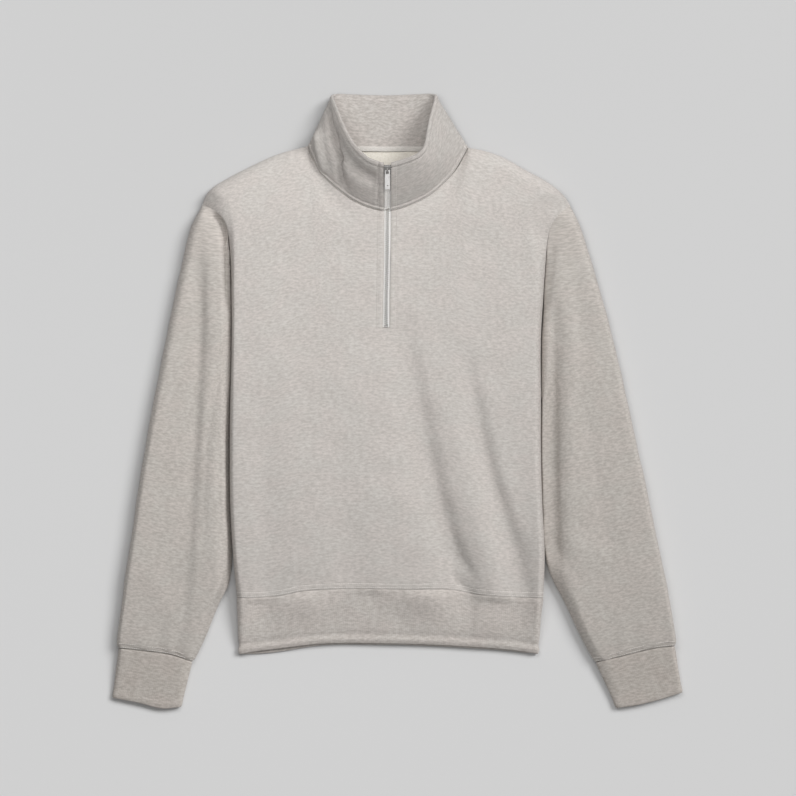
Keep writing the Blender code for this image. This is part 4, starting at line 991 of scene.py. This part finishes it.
WALE, COURSE, RIB = 1.35, 1.05, 2.6   # a loop's width and height, and a rib's width
FLEECE = ("fleece", "fleece_inside")
WARM, COOL = (1.012, 0.998, 1.0), (0.992, 1.003, 1.004)
MATERIALS = {
    "fleece": heather("fleece_outside", (0.644, 0.606, 0.572), (0.487, 0.455, 0.425),
                      (0.36, 0.33, 0.30), 1.0),
    # The sleeves' copy of the heather is darker than the front's: painted shade for the light falling off
    # over the sleeves.
    "fleece_sleeve_painted_shade": heather("fleece_sleeve_painted_shade", (0.594, 0.555, 0.515), (0.440, 0.407, 0.374),
                             (0.33, 0.30, 0.27), 1.15),
    # The collar's copy is darker still: painted shade for its sides, which turn away from the light.
    "fleece_collar_painted_shade": heather("fleece_collar_painted_shade", (0.536, 0.505, 0.476), (0.407, 0.380, 0.356),
                             (0.33, 0.30, 0.275), 1.15),
    "fleece_inside": brushed("fleece_inside", (0.96, 0.92, 0.835), (0.86, 0.81, 0.72)),
    "collar_inside": heather("collar_inside", (0.60, 0.563, 0.532), (0.44, 0.408, 0.38),
                             (0.33, 0.30, 0.275), 1.3),
    # The waistband's copy is the same heather with a faint rib, set lighter than the front's to match the
    # band's brightness under the lamps: painted light.
    "rib": heather("rib_knit_painted_light", (0.673, 0.628, 0.589), (0.505, 0.465, 0.429),
                   (0.37, 0.33, 0.30), 1.2, rib=0.25),
    # The cuffs' copy is darker than the sleeves': painted shade for the light falling off towards the
    # bottom.
    "cuff": heather("cuff_knit_painted_shade", (0.579, 0.534, 0.492), (0.425, 0.386, 0.349),
                    (0.31, 0.28, 0.25), 1.2, rib=0.25),
    "tape": woven("neck_tape_weave", (0.80, 0.77, 0.73), (0.66, 0.63, 0.59), 1.1),
    "zip_tape": woven("zip_tape_weave", (0.96, 0.945, 0.92), (0.86, 0.845, 0.82), 0.9),
    "thread": spun("sewing_thread", (0.88, 0.85, 0.81), (0.74, 0.71, 0.67)),
    "thread_plain": spun("plain_thread", (0.66, 0.625, 0.59), (0.55, 0.52, 0.49)),
    # The slider and the stop get a dark copy of the nickel: painted shade.
    "metal": polished("zip_metal_painted_shade", (0.50, 0.49, 0.48), (0.30, 0.29, 0.28), 0.30, 0.70),
    # The pull is near-white and barely metallic: painted reflection of the lamps in its nickel.
    "pull": polished("pull_metal_painted_reflection", (0.97, 0.955, 0.94), (0.84, 0.825, 0.81), 0.38, 0.15),
    # The teeth are near-white and barely metallic too: painted reflection of the lamps in their nickel.
    "teeth": polished("zip_teeth", (0.97, 0.95, 0.93), (0.84, 0.83, 0.81), 0.45, 0.05),
}

# Relief: what the sewing and the lie of the cloth add to each form

RIPPLES = table("angle length phase share", [
    (12, 83, 0.4, 1), (97, 61, 2.1, 0.8), (61, 47, 4.4, 0.6), (143, 118, 1.3, 1),
    (28, 33, 5.2, 0.35), (112, 27, 3.6, 0.3), (84, 141, 0.9, 1),
])
PUCKERS = ((3.1, 1.0), (5.3, 0.7), (8.9, 0.6))   # wave lengths over tau, and their shares


def ripples(grid, turned):
    """A gentle unevenness of about one millimetre."""
    height = np.zeros(grid.shape[:2])
    for angle, length, phase, share in zip(*RIPPLES.values()):
        way = math.radians(angle + turned)
        run = grid[:, :, 0] * math.cos(way) + grid[:, :, 1] * math.sin(way)
        height += share * np.sin(math.tau * run / length + phase)
    return height / RIPPLES["share"].sum()


def seam_profile(from_seam):
    """Cloth dips into a seam and is held down by two rows of stitching beside it."""
    held = sum(bell(from_seam, row, 0.6) for row in STITCH_ROWS)
    return -0.7 * bell(from_seam, 0, 1.1) - 0.28 * held


def puckers(along, from_seam, reach, seed):
    """Small gathers that stitching pulls into the cloth beside a seam."""
    waves = [
        share * np.sin(along / length + k * seed) for k, (length, share) in enumerate(PUCKERS, 1)
    ]
    return sum(waves) * np.exp(-from_seam / reach)


# Meshes

def mesh_of(name, points, faces):
    """A mesh from points in millimetres."""
    mesh = bpy.data.meshes.new(name)
    mesh.from_pydata((np.asarray(points) * MM).tolist(), [], faces)
    return mesh


def placed(name, data):
    thing = bpy.data.objects.new(name, data)
    bpy.context.scene.collection.objects.link(thing)
    return thing


def add_piece(name, node, mesh, materials):
    """A piece of the garment's body that replaces its solid, if it has one."""
    piece = placed(name, mesh)
    for material in materials:
        mesh.materials.append(MATERIALS[material])
    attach(piece, "garment")
    if node:
        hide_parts(node)


def shell(name, node, outer, inner, materials, slot="fleece", closed=False, keep=None, fold=0.0,
          length_way=None):
    """A cloth piece between two grids of points, with its knit laid out in a UV map.

    keep marks the cells that are cloth, closed wraps the columns, and fold rounds the rim
    of the last row over. The outer face gets the first material and the inner the second.
    length_way is the way the knit runs in plan, where it isn't along the columns.
    """
    rows, columns = outer.shape[:2]
    spans = columns if closed else columns - 1
    layers = [outer]
    if fold:
        way = unit(outer[-1] - outer[-2])
        middle, half = (outer[-1] + inner[-1]) / 2, (outer[-1] - inner[-1]) / 2
        for angle in np.linspace(0, math.pi, FOLD_STEPS + 1)[1:-1]:
            layers.append([middle + half * math.cos(angle) + fold * way * math.sin(angle)])
    sheet = np.concatenate([*layers, inner[::-1]])
    total = len(sheet)
    points = wrapped(sheet) if closed else sheet
    across, along = run_across(points), run_along(points)
    across = across - across[:, across.shape[1] // 2: across.shape[1] // 2 + 1]
    if length_way is not None:
        along = points[:, :, :2] @ np.array(length_way)

    i, j = np.meshgrid(np.arange(total - 1), np.arange(spans), indexing="ij")
    cloth = np.ones((total - 1, spans), bool)
    if not fold:
        cloth[rows - 1] = False
    if keep is not None:
        cloth[: rows - 1] = keep
        cloth[total - rows:] = keep[::-1]
    corners_i = np.stack([i, i, i + 1, i + 1], axis=-1)[cloth]
    corners_j = np.stack([j, j + 1, j + 1, j], axis=-1)[cloth]
    faces = (corners_i * columns + corners_j % columns).tolist()
    uv = np.stack([across[corners_i, corners_j], along[corners_i, corners_j]], axis=-1).tolist()
    inside = (corners_i[:, 0] >= total - rows).astype(int).tolist()

    def add_rim(corners):
        faces.append(corners)
        uv.append([(across.flat[0], along.flat[0])] * len(corners))
        inside.append(0)

    def opposite(k):
        row, column = divmod(k, columns)
        return (total - 1 - row) * columns + column

    edges = {}
    for face in faces:
        for a, b in zip(face, face[1:] + face[:1]):
            if (b, a) in edges:
                del edges[(b, a)]
            else:
                edges[(a, b)] = True
    for a, b in edges:
        if max(a, b) < rows * columns:
            add_rim([b, a, opposite(a), opposite(b)])
    if fold and not closed:
        for column in (0, columns - 1):
            add_rim([row * columns + column for row in range(rows - 1, total - rows + 1)])

    mesh = mesh_of(name, sheet.reshape(-1, 3), faces)
    flat = (np.concatenate([np.array(corners, float) for corners in uv]) * MM).ravel()
    mesh.uv_layers.new(name="knit").data.foreach_set("uv", flat)
    mesh.polygons.foreach_set("material_index", inside)
    shaper = bmesh.new()
    shaper.from_mesh(mesh)
    bmesh.ops.delete(shaper, geom=[p for p in shaper.verts if not p.link_faces], context="VERTS")
    bmesh.ops.recalc_face_normals(shaper, faces=shaper.faces)
    shaper.to_mesh(mesh)
    shaper.free()
    mesh.shade_smooth()
    mesh.set_sharp_from_angle(angle=math.radians(60))
    add_piece(name, node, mesh, materials)


def dressed_shell(name, node, grid, relief, inner_relief, materials, thickness, turn, closed=True,
                  square_start=False, **more):
    """A shell inside a grid, with relief on both faces; its first rim can stand square."""
    normal = grid_normals(grid, closed, turn)
    square = normal.copy()
    if square_start:
        square[0] = plumb(normal[0])
    outer = lifted(grid, normal, relief)
    inner = lifted(lifted(grid, square, -thickness), normal, inner_relief)
    shell(name, node, outer, inner, materials, closed=closed, **more)
    return outer, inner


def offset_line(grid, distance, from_end=False):
    """The line at a set distance from a grid's first row, or from its last one."""
    source = grid[::-1] if from_end else grid
    run = run_along(source)
    return np.array([on_line(distance, run[:, j], source[:, j]) for j in range(grid.shape[1])])


def thread(name, lines, material="thread"):
    """Rows of stitches: one short rounded thread for each stitch, half sunk in the cloth."""
    points, faces = [], []
    around = [math.tau * k / THREAD_SIDES for k in range(THREAD_SIDES)]
    for line, ups in lines:
        run = run_of(line)
        centres = on_line(np.arange(STITCH_PITCH / 2, run[-1], STITCH_PITCH), run, line)
        if len(centres) < 2:
            continue
        way = unit(np.gradient(centres, axis=0))
        nearest = [np.argmin(((line - centre) ** 2).sum(axis=1)) for centre in centres]
        side = unit(np.cross(way, ups[nearest]))
        for c, w, s, n in zip(centres, way, side, np.cross(side, way)):
            first = len(points)
            for share, size, lift in STITCH_RINGS:
                middle = c + w * share * STITCH_LENGTH / 2 + n * lift * STITCH_RADIUS
                for angle in around:
                    ring = s * math.cos(angle) + n * math.sin(angle)
                    points.append(middle + ring * STITCH_RADIUS * size)
            add_tube(faces, first, THREAD_SIDES, len(STITCH_RINGS))
    mesh = mesh_of(name, np.maximum(points, (-np.inf, -np.inf, 0)), faces)
    mesh.shade_smooth()
    add_piece(name, None, mesh, [material])


def add_tube(faces, first, sides, rings):
    """Faces round a tube's rings of points and over its two ends."""
    for r in range(rings - 1):
        for k in range(sides):
            a, b = first + r * sides + k, first + r * sides + (k + 1) % sides
            faces.append([a, b, b + sides, a + sides])
    faces.append([first + k for k in range(sides)][::-1])
    faces.append([first + (rings - 1) * sides + k for k in range(sides)])


# The garment

def body_relief(grid, steps):
    """Seams round the edges of a body panel and a soft unevenness between them."""
    across, from_hem, from_top = measures(grid, closed=False)
    from_side = np.minimum(across, across[:, -1:] - across)
    armhole = (np.arange(len(grid)) >= ROWS_BELOW)[:, None]
    tips = 1 - ease((grid[:, :, 1] - TIP_Y) / TIP_SPAN)
    stitched = 0.25 * seam_profile(from_side) + 0.1 * puckers(from_hem, from_side, 6, 0.4)
    relief = seam_profile(from_hem) + 0.22 * puckers(across, from_hem, 9, 1.3)
    relief = relief + armhole * tips * stitched + creases(SHARP_CREASES, grid[:, :, 0], grid[:, :, 1])
    first = neck_columns(steps)[0]
    neck = np.zeros(grid.shape[1])
    neck[first: grid.shape[1] - first] = 1
    relief = relief + neck * (-0.5 * bell(from_top, 0, 1.6) + 0.12 * puckers(across, from_top, 5, 2.2))
    quiet = ease(from_side / 40) * ease(from_hem / 30) * ease(from_top / 40)
    return relief + 1.1 * quiet * ripples(grid, 0)


def build_body():
    front, front_inner = body_panel(NECKLINE, FRONT_STEPS, upper=True)
    back, back_inner = body_panel(BACK_NECK, BACK_STEPS, upper=False)
    normal = grid_normals(front, closed=False)
    relief = body_relief(front, FRONT_STEPS) + placket_relief(front)
    dressed = lifted(front, normal, relief)
    shell("front", "front_panel", dressed, lifted(front_inner, normal, relief * 0.6), FLEECE,
          keep=slit_mask(front))
    shell("back", "back_panel", back, back_inner, FLEECE)
    return front, back, dressed


def placket_relief(front):
    """The folded edges beside the zip, held down by a row of stitching."""
    from_zip = abs(front[:, :, 0] - front[:, ZIP_COLUMN: ZIP_COLUMN + 1, 0])
    above = ease((front[:, :, 1] - ZIP_BOTTOM_Y + 8) / 8)
    held = bell(from_zip, PLACKET_STITCH, 1.1) + bell(from_zip, 5, 0.9)
    below = bell(front[:, :, 1], PLACKET_END_Y, 1.2) * ease((PLACKET_STITCH + 1 - from_zip) / 2)
    return above * (0.35 * bell(from_zip, 7.5, 3.0) - 0.5 * held) - 0.35 * below


def sleeve_rolls(side, grid):
    """The sleeve's cloth stands up in a roll beside the body, then drops to it steeply."""
    x, y = grid[:, :, 0], grid[:, :, 1]
    from_body = abs(x - x[:, len(ARMHOLE_STEPS) - 1: len(ARMHOLE_STEPS)])
    relief = np.zeros(x.shape)
    for start, end, distance, width, height in zip(*SLEEVE_ROLLS[side].values()):
        held = ease((start - y) / 40) * ease((y - end) / 40)
        relief += height * held * bell(from_body, distance, width)
    inward = (read(SLEEVE_STEP[side], "x", y) - x) * SIDES[side]
    risen = ease(inward / STEP_WIDTH + 0.5) * ease((from_body - 3) / 9)
    return relief + read(SLEEVE_STEP[side], "rise", y) * risen


def seam_hollow(side, grid):
    """The cloth dips beside the armhole seam, below the shoulder point."""
    edge = grid[0, : len(ARMHOLE_STEPS)]
    run = run_of(edge)
    seam = on_line(np.arange(0.5, run[-1]), run, edge)[:, :2]
    away = np.linalg.norm(grid[:, :, None, :2] - seam, axis=3).min(axis=2)
    top, bottom, distance, width, depth = SEAM_HOLLOWS[side]
    held = ease((top - grid[:, :, 1]) / SEAM_HOLLOW_FADE) * ease((grid[:, :, 1] - bottom) / 60)
    return -depth * held * bell(away, distance, width) * (1 - np.exp(-away))


def build_sleeve(side, turn, front, back):
    grid = sleeve_grid(side, front, back)
    across, from_arm, from_cuff = measures(grid, closed=True)
    share = from_arm / from_arm[-1:]
    tips = 1 - ease((grid[:, :, 1] - TIP_Y) / TIP_SPAN)
    form = (sleeve_rolls(side, grid) + seam_hollow(side, grid)) * above_only(grid)
    relief = -0.15 * tips * bell(from_arm, 0, 1.2) + seam_profile(from_cuff)
    relief = relief + 0.22 * puckers(across, from_cuff, 9, 0.9)
    gathers = ease((share - 0.9) / 0.1) * np.sin(across / 5.4 + 1.1 * np.sin(across / 13)) * 0.7
    quiet = ease(from_arm / 50) * ease(from_cuff / 30)
    relief = relief + gathers * ease(from_cuff / 3) + quiet * ripples(grid, 40)
    relief = relief + creases(SLEEVE_FOLDS[side], grid[:, :, 0], grid[:, :, 1])
    relief = relief * above_only(grid, 0.4)
    # The sleeve's outer face gets the darker heather copy: painted shade.
    dressed_shell("sleeve_" + side + "_cloth", "sleeve_" + side, grid, form + relief,
                  form + relief * 0.6, ("fleece_sleeve_painted_shade", "fleece_inside"), CLOTH, turn,
                  length_way=SLEEVE_WAY[side])
    return grid


def build_cuff(side, turn, sleeve):
    grid = cuff_grid(side, sleeve)
    across, along, from_end = measures(grid, closed=True)
    relief = -0.7 * bell(along, 0, 1.3) + 0.2 * puckers(across, along, 12, 2.9)
    relief = relief + 0.5 * ripples(grid, 75) + 0.7 * bell(from_end, 4, 4)
    relief = relief * above_only(grid, 0.4)
    dressed_shell("cuff_" + side + "_knit", "cuff_" + side, grid, relief, relief * 0.3,
                  ("cuff", "cuff"), DOUBLED, turn, slot="rib", fold=FOLD_ROUND,
                  length_way=SLEEVE_WAY[side])


def build_waistband(front, back):
    grid = band_grid(front, back)
    across, along, from_end = measures(grid, closed=True)
    relief = -0.7 * bell(along, 0, 1.4) + 0.3 * puckers(across, along, 14, 0.7)
    relief = relief + 0.6 * ripples(grid, 15) * ease(along / 8)
    relief = relief + 1.2 * bell(from_end, 4.5, 3.6) - 0.7 * bell(from_end, 12, 4)
    relief = relief * np.where(np.arange(grid.shape[1]) < front.shape[1], 1, 0.4)
    dressed_shell("waistband_knit", "waistband", grid, relief, relief * 0.3, ("rib", "rib"),
                  DOUBLED, -1, square_start=True, slot="rib", fold=FOLD_ROUND)


def build_collar(front, back):
    grid = collar_grid(front, back)
    across, along, from_rim = measures(grid, closed=False)
    from_zip = np.minimum(across, across[:, -1:] - across)
    band = np.sin(math.pi * np.clip(along / NECK_BAND, 0, 1)) ** 0.7
    relief = 0.9 * band - 0.2 * bell(along, 0, 0.8) - 0.5 * bell(along, NECK_BAND + 0.8, 1.1)
    relief = relief - 0.9 * bell(from_rim, RIM_STITCH, 1.1) + 0.8 * bell(from_rim, 2.8, 2.2)
    relief = relief + 0.12 * puckers(across, along, 9, 0.2) + 0.1 * puckers(across, from_rim, 9, 1.7)
    groove = 0.5 + 1.3 * (across < across[:, -1:] / 2)
    relief = relief - groove * bell(from_zip, RIM_ZIP_STITCH, 1.4) + 0.5 * bell(from_zip, 2.5, 2.5)
    flat = np.stack([across, along], axis=-1)
    relief = relief + 0.5 * ripples(flat, 50) * ease(along / 10) * ease(from_rim / 10)
    inner_relief = 0.2 * bell(from_rim, 2.8, 2.2) - 0.3 * bell(from_rim, RIM_STITCH, 0.9)
    # The collar's outer face gets the darker heather copy: painted shade.
    dressed, inner = dressed_shell(
        "collar_cloth", "collar", grid, relief, inner_relief, ("fleece_collar_painted_shade", "collar_inside"),
        DOUBLED, -1, closed=False, fold=FOLD_ROUND,
    )
    return grid, inner, dressed


def build_neck_tape(collar, inner):
    """A flat tape over the back neck seam, on the collar's inner face."""
    first = FRONT_STEPS["neck"] + 2
    inside, outside = inner[:, first: -first], collar[:, first: -first]
    out = unit(inside - outside)[2]
    face = np.array([
        offset_line(inside, distance) + out * (SEAM + 0.15 * math.sin(math.pi * distance / NECK_TAPE))
        for distance in np.linspace(0, NECK_TAPE, 8)
    ])
    shell("neck_tape_weave", "neck_tape", face + out * NECK_TAPE_THICK, face, ("tape", "tape"), "tape")


# Zip

def slit_first_row(front):
    return int(np.argmin(abs(front[:, ZIP_COLUMN, 1] - ZIP_BOTTOM_Y)))


def slit_mask(front):
    """The front's cells that are cloth: all but the two columns over the zip."""
    keep = np.ones((front.shape[0] - 1, front.shape[1] - 1), bool)
    keep[slit_first_row(front):, ZIP_COLUMN - 1: ZIP_COLUMN + 1] = False
    return keep


class ZipLine:
    """Places on the zip by their distance from its lower end."""

    def __init__(self, front, collar):
        on_front = front[slit_first_row(front):, ZIP_COLUMN]
        on_front = on_front[on_front[:, 1] < on_front[-1, 1] - 0.1]
        self.path = np.concatenate([on_front, (collar[:, 0] + collar[:, -1]) / 2])
        self.normal = unit(np.cross((1, 0, 0), np.gradient(self.path, axis=0)))
        self.run = run_of(self.path)
        drop = np.where(np.arange(len(self.path)) < len(on_front), 0.0, COLLAR_TAPE_DROP)
        kernel = np.ones(2 * DROP_REACH + 1) / (2 * DROP_REACH + 1)
        self.drop = np.convolve(np.pad(drop, DROP_REACH, mode="edge"), kernel, mode="valid")

    def at(self, distance, side=0.0, depth=0.0):
        """A point beside the line and below the cloth's face, and the face's normal there."""
        up = unit(on_line(distance, self.run, self.normal))
        down = depth + np.interp(distance, self.run, self.drop)
        return on_line(distance, self.run, self.path) + (side, 0, 0) - up * down, up


def build_tapes(line):
    """Both woven tapes, each with the thicker cord beside the teeth."""
    for side, turn in SIDES.items():
        rows, lower = [], []
        for distance in np.arange(SEAM, line.run[-1] - TAPE_END, 1.5):
            across, below = [], []
            for x in np.linspace(TAPE_INNER, TAPE_OUTER, 12):
                cord = TAPE_CORD * bell(x, TAPE_INNER + 0.5, 1.5)
                point, up = line.at(distance, turn * x, CLOTH + TAPE_GAP - cord)
                across.append(point)
                below.append(point - up * (TAPE_THICK + cord))
            rows.append(across)
            lower.append(below)
        shell("zip_tape_" + side + "_weave", "zip_tape_" + side, np.array(rows), np.array(lower),
              ("zip_tape", "zip_tape"), "zip_tape")


def block(points, faces, place, size, taper=1.0):
    """Adds one small rounded block: a box with cut edges, narrower at its far end."""
    first = len(points)
    for z, inset in BLOCK_RINGS:
        for x, y in BLOCK_CORNERS:
            narrow = (1 - inset) * (taper if x > 0 else 1)
            local = Vector((x * (1 - inset) * size[0], y * narrow * size[1], z * size[2])) / 2
            points.append(tuple(place @ local))
    add_tube(faces, first, len(BLOCK_CORNERS), len(BLOCK_RINGS))


def frame_at(point, up, side_way=1):
    """A small frame on the zip: X towards the middle, Z out of the cloth."""
    x = np.array([side_way, 0.0, 0.0])
    axes = np.column_stack([x, unit(np.cross(up, x)), up, point])
    return Matrix([*axes.tolist(), (0, 0, 0, 1)])


def hard_piece(name, node, material, blocks):
    """One metal piece made of small blocks."""
    points, faces = [], []
    for one in blocks:
        block(points, faces, *one)
    add_piece(name, node, mesh_of(name, points, faces), (material,))


def build_teeth(line):
    """Interlocked metal teeth, each clamped on its tape's cord, and the stop below them."""
    start = STOP_LENGTH + 2 * SEAM
    end = line.run[-1] - SLIDER_FROM_TOP - SLIDER_LENGTH / 2 - SEAM
    teeth = []
    for k in range(int((end - start) / TOOTH_PITCH * 2)):
        turn = 1 if k % 2 else -1
        for from_middle, size, taper in TOOTH_BLOCKS:
            point, up = line.at(start + (k + 0.5) * TOOTH_PITCH / 2, turn * from_middle,
                                CHAIN_SUNK + CHAIN_THICK / 2)
            teeth.append((frame_at(point, up, -turn), size, taper))
    # The teeth get the near-white copy of the metal: painted reflection.
    hard_piece("zip_teeth", "zip_chain", "teeth", teeth)
    thick = CHAIN_SUNK + CHAIN_THICK - STOP_SUNK
    point, up = line.at(SEAM + STOP_LENGTH / 2, 0, STOP_SUNK + thick / 2)
    stop = (frame_at(point, up), (2 * CHAIN_HALF, STOP_LENGTH, thick))
    hard_piece("zip_stop", "zip_bottom_stop", "metal", [stop])


# Stitching

def build_stitches(front, dressed, collar, dressed_collar, sleeves):
    ups = grid_normals(front, closed=False)
    collar_ups = grid_normals(collar, closed=False, turn=-1)
    thread("thread_hem", [(offset_line(dressed, row), ups[0]) for row in STITCH_ROWS])
    rim = offset_line(dressed_collar, RIM_STITCH, from_end=True)
    thread("thread_rim", [(rim, collar_ups[-8])], "thread_plain")
    neck = [(offset_line(dressed_collar, row), collar_ups[k]) for row, k in ((0.9, 3), (4.0, 5))]
    thread("thread_neck", neck, "thread_plain")

    beside_collar, beside_ups = dressed_collar.transpose(1, 0, 2), collar_ups.transpose(1, 0, 2)
    first = slit_first_row(front) - 5
    placket = [i for i in range(first, len(front)) if front[i, ZIP_COLUMN, 1] >= PLACKET_END_Y]
    rows = []
    for turn, column in ((-1, 4), (1, -5)):
        line, line_ups = [], []
        for i in placket:
            target = front[i, ZIP_COLUMN, 0] + turn * PLACKET_STITCH
            order = np.argsort(dressed[i, :, 0])
            x = dressed[i, order, 0]
            line.append(on_line(target, x, dressed[i, order]))
            line_ups.append(on_line(target, x, ups[i, order]))
        rows.append((np.array(line), np.array(line_ups)))
        rows.append((offset_line(beside_collar, RIM_ZIP_STITCH, from_end=turn == 1),
                     beside_ups[column]))
    across = np.linspace(rows[0][0][0], rows[2][0][0], 12)
    rows.append((across, np.repeat(rows[0][1][:1], 12, axis=0)))
    thread("thread_zip", rows, "thread_plain")
    for side, grid in sleeves.items():
        cuff_ups = grid_normals(grid, True, SIDES[side])[-3]
        lines = [(offset_line(grid, row, from_end=True), cuff_ups) for row in STITCH_ROWS]
        thread("thread_cuff_" + side, lines)


def metal_nodes():
    """The slider and its pull keep their solids and get their metal."""
    # The slider's metal is the dark copy, painted shade; the pull's is the near-white one, painted
    # reflection.
    for node, metal in (("zip_slider", "metal"), ("zip_pull", "pull")):
        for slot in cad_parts[node].material_slots:
            slot.material = MATERIALS[metal]


# Scene

def floor_material():
    """Plain paper that stays one even tone although the soft lamp is nearer its upper part."""
    nodes = Nodes("floor_paper")
    x, y, _ = nodes.parts(nodes.output("Position", "NewGeometry"))
    x, y = x - PANEL_PLACE[0], y - PANEL_PLACE[1]
    square = PANEL_PLACE[2] ** 2 + (PANEL_SIZE / 2) ** 2
    share = nodes.math("DIVIDE", square, x * x + y * y + square)
    sun = SUN_STRENGTH * math.sin(math.radians(SUN_HEIGHT)) / math.pi
    tone = nodes.math("DIVIDE", FLOOR_TONE, share * share * PANEL_LIGHT + (sun + ROOM_STRENGTH))
    grey = nodes.output(0, "CombineXYZ", [(k, tone) for k in range(3)])
    return nodes.finish(grey, 0.95, Specular_IOR_Level=0.0)


def build_lamp(name, kind, **settings):
    lamp = bpy.data.lights.new(name, kind)
    for key, value in settings.items():
        setattr(lamp, key, value)
    return placed(name, lamp)


def build_scene():
    scene = bpy.context.scene
    floor_mesh = bpy.data.meshes.new("floor")
    half = FLOOR_HALF
    floor_mesh.from_pydata([(-half, -half, FLOOR_Z), (half, -half, FLOOR_Z), (half, half, FLOOR_Z),
                            (-half, half, FLOOR_Z)], [], [(0, 1, 2, 3)])
    floor_mesh.materials.append(floor_material())
    placed("floor", floor_mesh)

    scene.world = bpy.data.worlds.new("soft_room")
    scene.world.use_nodes = True
    background = scene.world.node_tree.nodes["Background"]
    background.inputs["Color"].default_value = (1, 1, 1, 1)
    background.inputs["Strength"].default_value = ROOM_STRENGTH

    sun = build_lamp("sun_lamp", "SUN", energy=SUN_STRENGTH, angle=math.radians(SUN_ANGLE))
    round_by, up = math.radians(SUN_AZIMUTH), math.radians(SUN_HEIGHT)
    level = math.cos(up)
    to_sun = Vector((math.sin(round_by) * level, math.cos(round_by) * level, math.sin(up)))
    sun.rotation_euler = to_sun.to_track_quat("Z", "Y").to_euler()
    power = PANEL_LIGHT * math.pi ** 2 * (PANEL_PLACE[2] ** 2 + (PANEL_SIZE / 2) ** 2)
    panel = build_lamp("soft_panel", "AREA", energy=power, shape="DISK", size=PANEL_SIZE)
    panel.location = PANEL_PLACE

    lens = bpy.data.cameras.new("camera")
    lens.sensor_width = SENSOR
    lens.lens = SENSOR * CAMERA_HEIGHT / PHOTO_WIDTH
    lens.clip_end = 50
    scene.camera = placed("camera", lens)
    scene.camera.location = (*PHOTO_MIDDLE, CAMERA_HEIGHT)
    scene.view_settings.view_transform = "Standard"


def main():
    front, back, dressed = build_body()
    sleeves = {}
    for side, turn in SIDES.items():
        sleeves[side] = build_sleeve(side, turn, front, back)
        build_cuff(side, turn, sleeves[side])
    build_waistband(front, back)
    collar, collar_inner, dressed_collar = build_collar(front, back)
    build_neck_tape(collar, collar_inner)
    line = ZipLine(front, collar)
    build_tapes(line)
    build_teeth(line)
    build_stitches(front, dressed, collar, dressed_collar, sleeves)
    metal_nodes()
    build_scene()


main()
